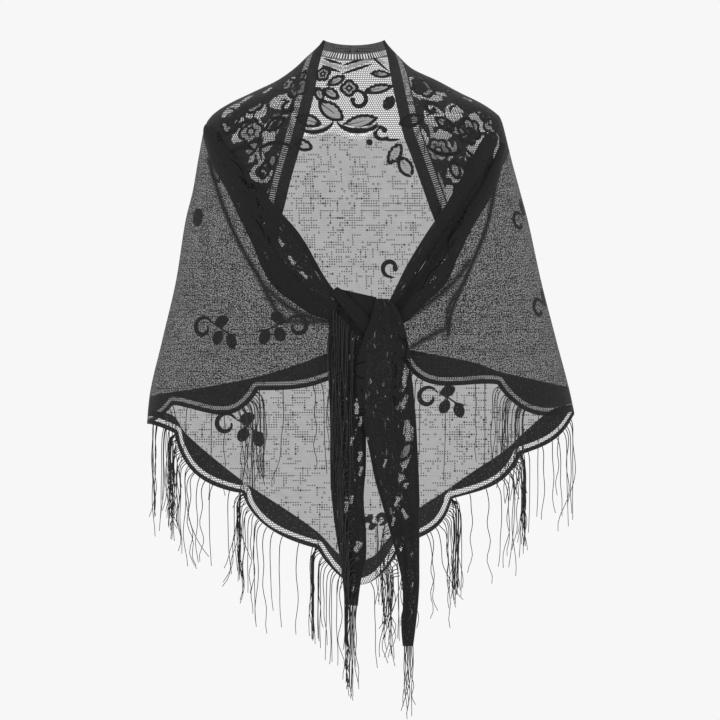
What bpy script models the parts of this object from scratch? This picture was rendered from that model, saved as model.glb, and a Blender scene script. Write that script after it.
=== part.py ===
"""Triangular knitted lace shawl with a fringe, worn round the shoulders and tied in front.

The table rows are in millimetres. Across runs from the left side of the front view (minus)
to the right side (plus), height runs up from the shoulder line, and the front faces minus Y.
"""
import bisect
import math

import bmesh
import bpy
from mathutils import Vector

MM = 0.001
PART_NAME = "lace_shawl"

# Walls and the gaps between neighbouring pieces, in millimetres.
CLOTH_WALL = 1.5
FOLD_WALL = 1.2
SIDE_HALF_GAP = 0.45
ROLL_LINE_GAP = 4.0
FRINGE_GAP = 0.35

# The worn shawl from the neck down, as level rings.
# Columns: height, left, right, front reach, back reach, depth of the sides, roundness.
RINGS = [
    (83, -50, 33, 10, 48, 8, 2),
    (76, -55, 38, 17, 53, 8, 2),
    (60, -72, 53, 32, 62, 8, 2),
    (44, -89, 70, 45, 71, 8, 2),
    (27, -113, 105, 59, 80, 7, 2),
    (11, -146, 135, 73, 88, 6, 2),
    (-5, -179, 167, 85, 95, 5, 2),
    (-15, -195, 182, 90, 98.5, 4, 2),
    (-22, -203, 190, 93.5, 101, 4, 2.05),
    (-30, -209, 194, 97, 103, 4, 2.1),
    (-41, -213, 197, 101, 105, 3, 2.1),
    (-82, -221, 207, 113, 112, 1, 2.15),
    (-123, -228, 218, 122, 116, 0, 2.2),
    (-164, -238, 229, 128, 118, 0, 2.2),
    (-246, -251, 247, 132, 118, 0, 2.25),
    (-328, -270, 268, 130, 116, 0, 2.25),
    (-410, -288, 289, 127, 114, 0, 2.25),
    (-450, -291, 296, 125, 112, 0, 2.25),
    (-682, -295, 302, 122, 108, 0, 2.25),
]

# The long straight edge of the shawl: its height round the back of the neck.
NECK_TOP_HEIGHT = 82.5
NECK_BACK_DIP = 5.5

# Lines down the front, as (across, height) points.
NECK_EDGE_LEFT = [
    (-47, 81), (-51, 66), (-57, 41), (-61, 12), (-67, -14), (-78, -57), (-93, -109),
    (-101, -143), (-108, -171), (-111, -201),
]
NECK_EDGE_RIGHT = [
    (31, 81), (35, 68), (38, 55), (44, 18), (53, -25), (59, -51), (70, -81), (85, -123),
    (97, -157), (105, -177), (109, -191),
]
ROLL_LINE_LEFT = [
    (-213, -45), (-202, -56), (-183, -89), (-158, -136), (-128, -180), (-98, -227),
    (-63, -262), (-30, -284),
]
ROLL_LINE_RIGHT = [
    (198, -45), (188, -59), (162, -111), (138, -147), (117, -179), (98, -206), (82, -232),
    (63, -259), (45, -281), (37, -291),
]
INNER_END_LEFT = [
    (-30, -284), (-26, -314), (-26, -349), (-27, -375),
]
INNER_END_RIGHT = [
    (37, -291), (41, -307), (46, -325), (51, -339),
]
CREASE_LEFT = [
    (-207, -82), (-202, -98), (-188, -143), (-164, -198), (-134, -250), (-109, -298),
]
CREASE_RIGHT = [
    (192, -68), (187, -102), (177, -157), (164, -198), (146, -239), (126, -287), (119, -321),
]

# Scalloped hems.
# Columns: across and height of the start, across and height of the end, belly, skew, steps.
HEM_FRONT_LEFT = [
    (-289, -442, -254, -416, 3, 1, 4),
    (-254, -416, -138, -396, 25, 1.45, 6),
    (-138, -396, -27, -375, 8, 1.2, 5),
]
HEM_FRONT_RIGHT = [
    (294, -423, 186, -388, 23, 1, 8),
    (186, -388, 51, -339, 30, 1.5, 6),
]
HEM_BACK = [
    (-289, -442, -253, -456, -1, 1, 4),
    (-253, -456, -161, -538, 23, 0.95, 6),
    (-161, -538, -59, -614, 18, 0.8, 6),
    (-59, -614, 57, -609, 53, 1, 8),
    (57, -609, 127, -546, 15, 1.2, 5),
    (127, -546, 220, -485, 16, 1.3, 6),
    (220, -485, 294, -423, 14, 1.2, 7),
]

# Folded bands that lie in front of the body.
# Columns: across and height of one edge, across and height of the other edge, lift, fullness.
ROLL_LEFT = [
    (-206, -35, -209, -61, 1.6, 0.45),
    (-188, -55, -199, -90, 1.6, 0.6),
    (-164, -87, -179, -126, 1, 0.8),
    (-134, -124, -161, -164, 1, 1),
    (-104, -158, -143, -202, 1, 1),
    (-85, -180, -131, -232, 1, 1),
    (-71, -201, -113, -259, 1, 1),
    (-60, -221, -90, -277, 1, 0.95),
    (-48, -242, -66, -293, 2, 0.85),
    (-35, -261, -41, -300, 3.4, 0.6),
    (-30, -270, -30, -298, 3.6, 0.5),
]
ROLL_RIGHT_INNER = [
    (175, -45, 187, -55, 1, 0.42),
    (164, -57, 179, -71, 1, 0.5),
    (146, -89, 164, -105, 1, 0.7),
    (128, -123, 145, -136, 1, 0.85),
    (112, -150, 124, -167, 1, 1),
    (89, -184, 106, -195, 1, 1),
    (64, -225, 83, -229, 1, 1),
    (49, -255, 67, -257, 2.5, 0.8),
    (40, -273, 53, -278, 3.4, 0.65),
    (33, -283, 45, -288, 3.6, 0.5),
]
ROLL_RIGHT_OUTER = [
    (190, -60, 197, -71, 1, 0.4),
    (177, -89, 188, -106, 1, 0.5),
    (164, -117, 176, -135, 1, 0.6),
    (147, -143, 162, -158, 1, 0.72),
    (128, -172, 147, -184, 1, 0.8),
    (111, -201, 131, -218, 1, 0.85),
    (89, -235, 116, -251, 1.5, 0.85),
    (72, -261, 90, -276, 3, 0.7),
    (57, -283, 68, -298, 3.6, 0.55),
    (46, -293, 56, -307, 3.6, 0.4),
]
KNOT_STRAP = [
    (-40, -263, -30, -256, 10.8, 0.7),
    (-31, -274, -20, -263, 10.9, 0.8),
    (-20, -288, -8, -276, 10.8, 0.8),
    (-7, -304, 5, -289, 10, 0.8),
    (5, -319, 16, -301, 9.4, 0.75),
    (12, -328, 24, -310, 9, 0.6),
]
KNOT_BRIDGE = [
    (-27, -259, 22, -270, 3.6, 0.8),
    (-20, -269, 23, -277, 3.7, 0.8),
    (-14, -278, 25, -287, 4, 0.8),
    (-4, -291, 26, -298, 3.7, 0.75),
    (5, -304, 27, -308, 3.6, 0.7),
]
TAIL_LEFT = [
    (-26, -277, -12, -280, 1, 0.45),
    (-26, -291, 3, -295, 1, 0.45),
    (-28, -302, 5, -306, 1.1, 0.45),
    (-42, -311, 7, -314, 1.3, 0.5),
    (-43, -326, 8, -328, 2.5, 0.7),
    (-43, -347, 8, -347, 2.5, 0.85),
    (-42, -371, 7, -371, 2.5, 0.95),
    (-41, -410, 7, -410, 3, 0.95),
    (-40, -450, 8, -453, 4, 1),
    (-40, -494, 8, -498, 5, 1),
    (-38, -539, 5, -542, 6, 1),
    (-33, -584, 8, -584, 7, 0.95),
    (-27, -622, 8, -622, 8, 0.85),
    (-23, -655, 1, -655, 8.5, 0.7),
    (-20, -685, -3, -687, 9, 0.6),
]
TAIL_RIGHT = [
    (20, -272, 38, -272, 10, 0.7),
    (18, -285, 48, -284, 12, 0.9),
    (13, -303, 57, -303, 12.9, 1),
    (5, -324, 62, -324, 13.4, 1),
    (-2, -349, 66, -347, 14.4, 1),
    (-5, -375, 68, -373, 15.2, 1),
    (-3, -407, 71, -401, 15.8, 1),
    (4, -440, 74, -435, 16.4, 1),
    (12, -475, 76, -472, 15.8, 1),
    (20, -516, 78, -512, 15, 1),
    (30, -551, 79, -549, 14, 1),
    (40, -587, 79, -584, 13, 0.95),
    (49, -621, 79, -622, 12, 0.9),
    (56, -655, 79, -658, 12, 0.8),
    (57, -688, 77, -689, 12, 0.7),
    (55, -715, 74, -717, 12, 0.6),
    (57, -741, 71, -741, 12, 0.5),
]

# Lines along which the tails carry their fringe. Columns: across, height, lift.
TAIL_LEFT_FRINGE = [
    (-31, -306, 9.5), (-25, -382, 11.5), (-18, -464, 13.8), (-12, -546, 15.6),
    (-7, -628, 16.3), (-4, -669, 15.4),
]
TAIL_LEFT_TIP_FRINGE = [
    (-20, -685, 12.5), (-4, -687, 12.5),
]
TAIL_RIGHT_FRINGE = [
    (32.5, -561, 16), (39.5, -587, 15.5), (48.5, -621, 14.5), (53.5, -648, 14),
]
TAIL_RIGHT_TIP_FRINGE = [
    (58, -741, 14), (71, -741, 14),
]

# Cross-sections of the folded bands. Columns: share of the width, rise over the lift.
ROLL_SECTION = [
    (0.12, 0.4), (0.0, 2.4), (0.03, 8.0), (0.16, 12.0),
    (0.4, 13.0), (0.66, 10.0), (0.88, 6.0), (1.0, 2.4), (0.88, 0.4),
]
STRAP_SECTION = [
    (0.16, 0.0), (0.0, 2.0), (0.12, 4.4), (0.5, 5.2), (0.88, 4.4), (1.0, 2.0), (0.84, 0.0),
]
BRIDGE_SECTION = [
    (0.0, 3.0), (0.1, 6.0), (0.35, 8.0), (0.6, 6.4), (0.85, 8.0), (1.0, 5.0),
]
TAIL_SECTION = [
    (0.1, 0.0), (0.0, 2.6), (0.05, 6.0), (0.2, 8.0), (0.36, 5.4),
    (0.52, 8.2), (0.68, 5.8), (0.84, 8.0), (0.95, 6.0), (1.0, 2.6), (0.9, 0.0),
]

# The folded bands. Columns: name, rows, section, steps between rows.
BANDS = [
    ("roll_left", ROLL_LEFT, ROLL_SECTION, 2),
    ("roll_right_inner", ROLL_RIGHT_INNER, ROLL_SECTION, 2),
    ("roll_right_outer", ROLL_RIGHT_OUTER, ROLL_SECTION, 2),
    ("knot_strap", KNOT_STRAP, STRAP_SECTION, 1),
    ("knot_bridge", KNOT_BRIDGE, BRIDGE_SECTION, 1),
    ("tail_left", TAIL_LEFT, TAIL_SECTION, 1),
    ("tail_right", TAIL_RIGHT, TAIL_SECTION, 1),
]

# Rows of each cloth piece.
BACK_SHOULDER_ROWS = 8
BACK_ROWS = 21
BACK_SHOULDER_HEIGHT = -45.0
FRONT_ROWS = 14
YOKE_ROWS = 13
YOKE_COLUMNS = 11

# Soft folds of the hanging cloth.
BACK_FOLD_DEPTH = 5.0
BACK_FOLD_WAVES = 7.0
BACK_FOLD_REACH = 400.0
PLEAT_DEPTH = 2.6
PLEAT_WAVES = 3.5
PLEAT_START = 0.4
CREASE_DEPTH = 4.5
CREASE_SOFTNESS = 22.0
SIDE_FADE = 6.0
SCALLOP_ROUNDNESS = 0.85

# Fringe yarns.
YARN_WIDTH = 1.7
BACK_YARN_SPACING = 10.5
FRONT_YARN_SPACING = 11.0
YARN_DEPTH = 1.5
STRIP_HEIGHT = 1.6
YARN_LENGTH = 138.0
BACK_SWING = (-8.0, 8.0)
LEFT_SWING = (-2.0, 0.0)
RIGHT_SWING = (2.0, 0.0)
TAIL_SWING = (-2.6, -2.6)
TIP_SWING = (0.0, 0.0)
SWING_UNEVEN = 0.08
SWING_SHARPNESS = 6
TURN_SHARE = 0.125
SHARPEST_CUSP = 0.3
STRAIGHT_DOWN = Vector((0.0, 0.0, -1.0))
SIDE_TRIM = 0.15
CORNER_ROOM = 1.6
LONG_BENDS = (0.06, 0.3, 1.0)
SHORT_BENDS = (0.08, 1.0)
YARN_UNEVEN = 9.0

# The fringe of the tails. Columns: name, line, spacing, length, swing at each end.
TAIL_FRINGES = [
    ("fringe_tail_left", TAIL_LEFT_FRINGE, 34.0, 145.0, TAIL_SWING),
    ("fringe_tail_left_tip", TAIL_LEFT_TIP_FRINGE, 3.9, 104.0, TIP_SWING),
    ("fringe_tail_right", TAIL_RIGHT_FRINGE, 13.5, 118.0, TAIL_SWING),
    ("fringe_tail_right_tip", TAIL_RIGHT_TIP_FRINGE, 3.9, 80.0, TIP_SWING),
]

CLOTH_COLOUR = (0.026, 0.025, 0.027, 1.0)
YARN_COLOUR = (0.02, 0.019, 0.021, 1.0)
CLOTH_ROUGHNESS = 0.85

HEIGHTS = [-row[0] for row in RINGS]


def column_slopes(column):
    """Slopes that join one table column smoothly and never overshoot."""
    steps = [HEIGHTS[i + 1] - HEIGHTS[i] for i in range(len(RINGS) - 1)]
    rises = [(RINGS[i + 1][column] - RINGS[i][column]) / steps[i] for i in range(len(steps))]
    slopes = [rises[0]]
    for before, after in zip(rises, rises[1:]):
        same_way = before * after > 0.0
        slopes.append(2.0 * before * after / (before + after) if same_way else 0.0)
    slopes.append(rises[-1])
    return slopes


SLOPES = [column_slopes(column) for column in range(len(RINGS[0]))]


def ring(height):
    """Centre, half width, front reach, back reach, side depth and roundness at a height."""
    place = min(max(-height, HEIGHTS[0]), HEIGHTS[-1])
    first = min(max(bisect.bisect_right(HEIGHTS, place) - 1, 0), len(RINGS) - 2)
    step = HEIGHTS[first + 1] - HEIGHTS[first]
    t = (place - HEIGHTS[first]) / step
    values = []
    for column in range(1, len(RINGS[0])):
        start = RINGS[first][column]
        end = RINGS[first + 1][column]
        lead = SLOPES[column][first] * step
        tail = SLOPES[column][first + 1] * step
        values.append(
            start * (1 + 2 * t) * (1 - t) ** 2
            + lead * t * (1 - t) ** 2
            + end * t * t * (3 - 2 * t)
            + tail * t * t * (t - 1)
        )
    left, right, front, back, side, roundness = values
    return (left + right) / 2, (right - left) / 2, front, back, side, roundness


def signed_power(value, power):
    return math.copysign(abs(value) ** power, value)


def body_point(angle, height):
    """Point on the worn body at an angle from the middle of the back, in millimetres."""
    centre, half, front, back, side, roundness = ring(height)
    reach = back if math.cos(angle) > 0.0 else front
    across = centre + half * signed_power(math.sin(angle), 2.0 / roundness)
    depth = side + reach * signed_power(math.cos(angle), 2.0 / roundness)
    return Vector((across, depth, height))


def body_outward(angle, height):
    """Direction straight out of the worn body."""
    turn = 0.01
    drop = 1.5
    round_it = body_point(angle + turn, height) - body_point(angle - turn, height)
    down_it = body_point(angle, height - drop) - body_point(angle, height + drop)
    return round_it.cross(down_it).normalized()


def lifted(place, lift):
    """Point a lift in front of, or behind, the worn body."""
    angle, height = place
    return body_point(angle, height) + body_outward(angle, height) * lift


def place_on_body(across, height, at_front):
    """Angle and height of a point seen at an across and height from the front."""
    centre, half, front, back, side, roundness = ring(height)
    share = min(max((across - centre) / half, -1.0), 1.0)
    angle = math.asin(abs(share) ** (roundness / 2.0))
    if at_front:
        angle = math.pi - angle
    return math.copysign(angle, share), height


def smooth_line(points, pieces=8):
    """Many points along a smooth curve through the given points."""
    line = []
    last = len(points) - 1
    for index in range(last):
        before = points[max(index - 1, 0)]
        start = points[index]
        end = points[index + 1]
        after = points[min(index + 2, last)]
        for piece in range(pieces):
            t = piece / pieces
            line.append(tuple(
                0.5 * (2 * b + (c - a) * t + (2 * a - 5 * b + 4 * c - d) * t * t
                       + (3 * b - a - 3 * c + d) * t * t * t)
                for a, b, c, d in zip(before, start, end, after)
            ))
    line.append(tuple(points[last]))
    return line


def hem_line(scallops):
    """Points along a scalloped hem, ending each scallop in a cusp."""
    points = []
    for start_x, start_z, end_x, end_z, belly, skew, steps in scallops:
        run = Vector((end_x - start_x, end_z - start_z))
        out = Vector((run.y, -run.x)).normalized()
        if out.y > 0.0:
            out.negate()
        for step in range(steps):
            t = step / steps
            bulge = belly * math.sin(math.pi * t ** skew) ** SCALLOP_ROUNDNESS
            point = Vector((start_x, start_z)) + run * t + out * bulge
            points.append((point.x, point.y))
    points.append((scallops[-1][2], scallops[-1][3]))
    return points


def along(places, share):
    """Place at a share of the length of a line of places on the body."""
    points = [body_point(*place) for place in places]
    lengths = [0.0]
    for first, second in zip(points, points[1:]):
        lengths.append(lengths[-1] + (second - first).length)
    target = share * lengths[-1]
    index = min(max(bisect.bisect_right(lengths, target) - 1, 0), len(places) - 2)
    span = max(lengths[index + 1] - lengths[index], 1e-9)
    t = (target - lengths[index]) / span
    first = places[index]
    second = places[index + 1]
    return first[0] + (second[0] - first[0]) * t, first[1] + (second[1] - first[1]) * t


def length_shares(places):
    points = [body_point(*place) for place in places]
    lengths = [0.0]
    for first, second in zip(points, points[1:]):
        lengths.append(lengths[-1] + (second - first).length)
    return [length / lengths[-1] for length in lengths]


def cloth_patch(top, bottom, start, end, rows):
    """Rows of places that fill the area between four edge lines."""
    shares = length_shares(bottom)
    patch = []
    for row in range(rows):
        r = row / (rows - 1)
        first = along(start, r)
        last = along(end, r)
        line = []
        for column, c in enumerate(shares):
            upper = along(top, c)
            lower = bottom[column]
            place = []
            for k in range(2):
                corners = (
                    (1 - c) * (1 - r) * top[0][k] + c * (1 - r) * top[-1][k]
                    + (1 - c) * r * bottom[0][k] + c * r * bottom[-1][k]
                )
                place.append(
                    (1 - r) * upper[k] + r * lower[k] + (1 - c) * first[k] + c * last[k] - corners
                )
            line.append(tuple(place))
        patch.append(line)
    return patch


def front_places(points):
    return [place_on_body(across, height, True) for across, height in points]


def side_line(sign, top_height, low_height, steps=24):
    """The side fold of the body, from a height down to a lower one."""
    drop = low_height - top_height
    return [(sign * math.pi / 2, top_height + drop * i / steps) for i in range(steps + 1)]


def distance_to_line(across, height, line):
    """Distance in the front view from a point to a line of points."""
    point = Vector((across, height))
    distances = []
    for first, second in zip(line, line[1:]):
        start = Vector(first)
        run = Vector(second) - start
        t = min(max((point - start).dot(run) / run.length_squared, 0.0), 1.0)
        distances.append((point - start - run * t).length)
    return min(distances)


def material(name, colour):
    made = bpy.data.materials.new(name)
    made.use_nodes = True
    surface = made.node_tree.nodes["Principled BSDF"]
    surface.inputs["Base Color"].default_value = colour
    surface.inputs["Roughness"].default_value = CLOTH_ROUGHNESS
    made.diffuse_color = colour
    return made


def add_object(name, mesh, colour):
    item = bpy.data.objects.new(name, mesh)
    item.data.materials.append(material(name + "_material", colour))
    parts.objects.link(item)
    mesh.shade_smooth()
    return item


def add_cloth(name, grid, wall, outward):
    """A cloth wall whose outer face is a grid of points given in millimetres."""
    row_count = len(grid)
    column_count = len(grid[0])
    shape = bmesh.new()
    bmesh.ops.create_grid(shape, x_segments=column_count - 1, y_segments=row_count - 1, size=1.0)
    for vertex in shape.verts:
        column = round((vertex.co.x + 1.0) / 2.0 * (column_count - 1))
        row = round((vertex.co.y + 1.0) / 2.0 * (row_count - 1))
        vertex.co = grid[row][column] * MM
    shape.normal_update()
    facing = sum(face.normal.dot(outward(face.calc_center_median())) for face in shape.faces)
    if facing < 0.0:
        bmesh.ops.reverse_faces(shape, faces=shape.faces)
    mesh = bpy.data.meshes.new(name)
    shape.to_mesh(mesh)
    shape.free()
    item = add_object(name, mesh, CLOTH_COLOUR)
    thicken = item.modifiers.new("wall", "SOLIDIFY")
    thicken.thickness = wall * MM
    thicken.offset = -1.0
    return item


def away_from_middle(point):
    return Vector((point.x, point.y, 0.0))


def to_the_front(point):
    return Vector((0.0, -1.0, 0.0))


def back_fold(angle, height):
    """Depth of the soft folds that deepen down the back."""
    drop = min(max(-height / BACK_FOLD_REACH, 0.0), 1.2)
    return BACK_FOLD_DEPTH * drop * math.cos(BACK_FOLD_WAVES * angle) * math.cos(angle) ** 2


def build_back():
    """The stretch across the back, from the neck to the scalloped hem and its low middle."""
    hem = [place_on_body(across, height, False) for across, height in hem_line(HEM_BACK)]
    hem[0] = (-math.pi / 2, hem[0][1])
    hem[-1] = (math.pi / 2, hem[-1][1])
    grid = []
    for row in range(BACK_ROWS):
        line = []
        for angle, hem_height in hem:
            top = NECK_TOP_HEIGHT - NECK_BACK_DIP * math.cos(angle) ** 2
            if row < BACK_SHOULDER_ROWS:
                height = top + (BACK_SHOULDER_HEIGHT - top) * row / BACK_SHOULDER_ROWS
            else:
                share = (row - BACK_SHOULDER_ROWS) / (BACK_ROWS - 1 - BACK_SHOULDER_ROWS)
                height = BACK_SHOULDER_HEIGHT + (hem_height - BACK_SHOULDER_HEIGHT) * share
            point = lifted((angle, height), back_fold(angle, height))
            line.append(point + Vector((0.0, SIDE_HALF_GAP, 0.0)))
        grid.append(line)
    add_cloth("back_panel", grid, CLOTH_WALL, away_from_middle)
    return grid[-1], hem


def build_yoke(name, sign, neck_edge, roll_line):
    """The lace that passes over one shoulder, between the neck edge and the rolled border."""
    roll = [point for point in smooth_line(roll_line) if point[1] >= neck_edge[-1][1]]
    roll.append(neck_edge[-1])
    roll_places = front_places(roll)
    roll_places[0] = (sign * math.pi / 2, roll_line[0][1])
    edge_places = front_places(smooth_line(neck_edge))
    side = side_line(sign, NECK_TOP_HEIGHT, roll_line[0][1])
    top = [side[0], edge_places[0]]
    bottom = [along(roll_places, i / (YOKE_COLUMNS - 1)) for i in range(YOKE_COLUMNS)]
    grid = []
    for line in cloth_patch(top, bottom, side, edge_places, YOKE_ROWS):
        grid.append([body_point(*place) - Vector((0.0, SIDE_HALF_GAP, 0.0)) for place in line])
    add_cloth(name, grid, CLOTH_WALL, away_from_middle)


def front_lift(share_down, share_in, across, height, crease):
    """Pleats that run out from the knot, and the long crease that falls from the shoulder."""
    share = min(max((share_in - PLEAT_START) / (1.0 - PLEAT_START), 0.0), 1.0)
    near_knot = math.sin(math.pi * share)
    pleats = PLEAT_DEPTH * near_knot * math.sin(2 * math.pi * PLEAT_WAVES * share_down)
    edge_fade = math.sin(math.pi * min(max(share_down, 0.0), 1.0))
    far = distance_to_line(across, height, crease)
    trough = CREASE_DEPTH * math.exp(-(far / CREASE_SOFTNESS) ** 2)
    return (pleats - trough) * edge_fade * min(1.0, SIDE_FADE * share_in)


def build_front(name, sign, roll_line, hem, inner_end, crease):
    """One front, from the side fold to the knot and from the rolled border to the hem."""
    top = front_places([(x, z - ROLL_LINE_GAP) for x, z in smooth_line(roll_line)])
    top[0] = (sign * math.pi / 2, roll_line[0][1] - ROLL_LINE_GAP)
    bottom = front_places(hem_line(hem))
    bottom[0] = (sign * math.pi / 2, hem[0][1])
    last_x, last_z = roll_line[-1]
    inner_end = [(last_x, last_z - ROLL_LINE_GAP)] + inner_end[1:]
    end = front_places(smooth_line(inner_end))
    end[0] = top[-1]
    end[-1] = bottom[-1]
    side = side_line(sign, top[0][1], bottom[0][1])
    patch = cloth_patch(top, bottom, side, end, FRONT_ROWS)
    shares = length_shares(bottom)
    grid = []
    for row, line in enumerate(patch):
        share_down = row / (FRONT_ROWS - 1)
        points = []
        for share_in, place in zip(shares, line):
            flat = body_point(*place)
            lift = front_lift(share_down, share_in, flat.x, flat.z, crease)
            points.append(lifted(place, lift) - Vector((0.0, SIDE_HALF_GAP, 0.0)))
        grid.append(points)
    add_cloth(name, grid, CLOTH_WALL, away_from_middle)
    return grid[-1], bottom


def band_point(row, share, rise):
    """Point of a folded band's section at one row of its table."""
    first_x, first_z, second_x, second_z, lift, fullness = row
    across = first_x + (second_x - first_x) * share
    height = first_z + (second_z - first_z) * share
    return lifted(place_on_body(across, height, True), lift + rise * fullness)


def build_band(name, rows, section, pieces):
    """A folded band of cloth, with its edges turned under."""
    if pieces > 1:
        rows = smooth_line(rows, pieces)
    grid = [[band_point(row, share, rise) for share, rise in section] for row in rows]
    add_cloth(name, grid, FOLD_WALL, to_the_front)


def yarn_noise(index):
    """A fixed uneven value between minus one and one for each yarn."""
    return math.sin(index * 2.399 + 1.3) * 0.6 + math.sin(index * 5.71) * 0.4


def strip_sections(line, outs, downs, spacing):
    """Sections along a fringe strip: point, outward, downward and whether a yarn starts there."""
    total = sum((second - first).length for first, second in zip(line, line[1:]))
    count = int(total / spacing)
    due = [total * (yarn + 0.5) / count for yarn in range(count)]
    sections = []
    last = len(line) - 1
    passed = 0.0
    room = YARN_WIDTH / 2 + CORNER_ROOM
    for index in range(last):
        start = line[index]
        run = line[index + 1] - start
        length = run.length
        sections.append((start, outs[index], downs[index], False))
        for place in [place for place in due if passed <= place < passed + length]:
            middle = min(max(place - passed, room), length - room)
            for edge in (-0.5, 0.5):
                t = (middle + edge * YARN_WIDTH) / length
                out = outs[index].lerp(outs[index + 1], t).normalized()
                flat_down = run.cross(out).normalized()
                if flat_down.dot(downs[index] + downs[index + 1]) < 0.0:
                    flat_down.negate()
                sections.append((start + run * t, out, flat_down, edge < 0.0))
        passed += length
    sections.append((line[last], outs[last], downs[last], False))
    return sections


def edge_directions(line, outs):
    """Direction off the cloth's edge at each point of the edge, longer at the cusps."""
    downs = []
    for index, out in enumerate(outs):
        sides = []
        for first, second in ((index - 1, index), (index, index + 1)):
            if first >= 0 and second < len(line):
                off = (line[second] - line[first]).cross(out).normalized()
                if off.z > 0.0:
                    off.negate()
                sides.append(off)
        middle = sum(sides, Vector()) / len(sides)
        downs.append(middle / max(middle.length_squared, SHARPEST_CUSP))
    return downs


def build_fringe(name, line, outs, spacing, length, swings, bends):
    """Yarns that hang from a narrow strip set just off the cloth's edge."""
    sections = strip_sections(line, outs, edge_directions(line, outs), spacing)
    columns = len(sections) - 1
    shape = bmesh.new()
    bmesh.ops.create_grid(shape, x_segments=columns, y_segments=1, size=1.0)
    made = bmesh.ops.extrude_face_region(shape, geom=list(shape.faces), use_keep_orig=True)
    behind = {item for item in made["geom"] if isinstance(item, bmesh.types.BMVert)}
    for vertex in shape.verts:
        point, out, down, starts = sections[round((vertex.co.x + 1.0) / 2.0 * columns)]
        drop = FRINGE_GAP + (STRIP_HEIGHT if vertex.co.y > 0.0 else 0.0)
        side = -0.5 if vertex in behind else 0.5
        vertex.co = (point + down * drop + out * side * YARN_DEPTH) * MM
    bmesh.ops.recalc_face_normals(shape, faces=shape.faces)
    yarn = 0
    for index, (point, out, down, starts) in enumerate(sections):
        if not starts:
            continue
        middle = (point + sections[index + 1][0]) / 2
        root = (middle + down * (FRINGE_GAP + STRIP_HEIGHT)) * MM
        face = min(shape.faces, key=lambda f: (f.calc_center_median() - root).length)
        swing = swings[0] + (swings[1] - swings[0]) * index / columns
        grow_yarn(shape, face, down, out, length, swing, bends, yarn)
        yarn += 1
    bmesh.ops.recalc_face_normals(shape, faces=shape.faces)
    mesh = bpy.data.meshes.new(name)
    shape.to_mesh(mesh)
    shape.free()
    add_object(name, mesh, YARN_COLOUR)


def grow_yarn(shape, face, way, out, length, swing, bends, index):
    """Draw one yarn out of its root face and let it turn down."""
    root = face.calc_center_median()
    tangent = way.cross(out).normalized()
    reach = swing * (1.0 + SWING_UNEVEN * yarn_noise(index + 40))
    drop = length + YARN_UNEVEN * yarn_noise(index)
    for bend in bends:
        middle = face.calc_center_median()
        offsets = [vertex.co - middle for vertex in face.verts]
        sizes = [(offset.dot(tangent), offset.dot(out)) for offset in offsets]
        made = bmesh.ops.extrude_discrete_faces(shape, faces=[face])
        face = made["faces"][0]
        centre = root.copy()
        centre.x += reach * (1.0 - (1.0 - bend) ** SWING_SHARPNESS) * MM
        centre.z = root.z - drop * bend * MM
        heading = way.lerp(STRAIGHT_DOWN, min(1.0, bend / TURN_SHARE)).normalized()
        tangent = heading.cross(out).normalized()
        for vertex, (wide, deep) in zip(face.verts, sizes):
            vertex.co = centre + tangent * wide + out * deep


def build_hem_fringe(name, line, places, spacing, swings, bends):
    """The fringe of one scalloped hem, which starts just inside the side fold."""
    line[0] = line[0].lerp(line[1], SIDE_TRIM)
    outs = [body_outward(*place) for place in places]
    points = [point - out * CLOTH_WALL / 2 for point, out in zip(line, outs)]
    build_fringe(name, points, outs, spacing, YARN_LENGTH, swings, bends)


def build_tail_fringe(name, table, spacing, length, swings):
    """The fringe of one tail, along a line of (across, height, lift) points."""
    places = [place_on_body(across, height, True) for across, height, lift in table]
    outs = [body_outward(*place) for place in places]
    points = [lifted(place, row[2]) for place, row in zip(places, table)]
    build_fringe(name, points, outs, spacing, length, swings, LONG_BENDS)


for item in list(bpy.data.objects):
    bpy.data.objects.remove(item, do_unlink=True)
parts = bpy.data.collections.new(PART_NAME)
bpy.context.scene.collection.children.link(parts)

back_hem, back_hem_places = build_back()
build_yoke("yoke_left", -1, NECK_EDGE_LEFT, ROLL_LINE_LEFT)
build_yoke("yoke_right", 1, NECK_EDGE_RIGHT, ROLL_LINE_RIGHT)
left_hem, left_hem_places = build_front(
    "front_left", -1, ROLL_LINE_LEFT, HEM_FRONT_LEFT, INNER_END_LEFT, CREASE_LEFT)
right_hem, right_hem_places = build_front(
    "front_right", 1, ROLL_LINE_RIGHT, HEM_FRONT_RIGHT, INNER_END_RIGHT, CREASE_RIGHT)
for name, rows, section, pieces in BANDS:
    build_band(name, rows, section, pieces)
build_hem_fringe(
    "fringe_back", back_hem, back_hem_places, BACK_YARN_SPACING, BACK_SWING, LONG_BENDS)
build_hem_fringe(
    "fringe_front_left", left_hem, left_hem_places, FRONT_YARN_SPACING, LEFT_SWING, SHORT_BENDS)
build_hem_fringe(
    "fringe_front_right", right_hem, right_hem_places, FRONT_YARN_SPACING, RIGHT_SWING,
    SHORT_BENDS)
for name, table, spacing, length, swings in TAIL_FRINGES:
    build_tail_fringe(name, table, spacing, length, swings)
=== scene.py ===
"""Looks of a black knitted lace shawl with a long fringe, worn round the shoulders and tied in front.

The frame comes packed. Tables are in millimetres, with the origin between the shoulders: across
runs to the right of the front view, height runs up, and the front faces minus Y.
"""

import math

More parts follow.
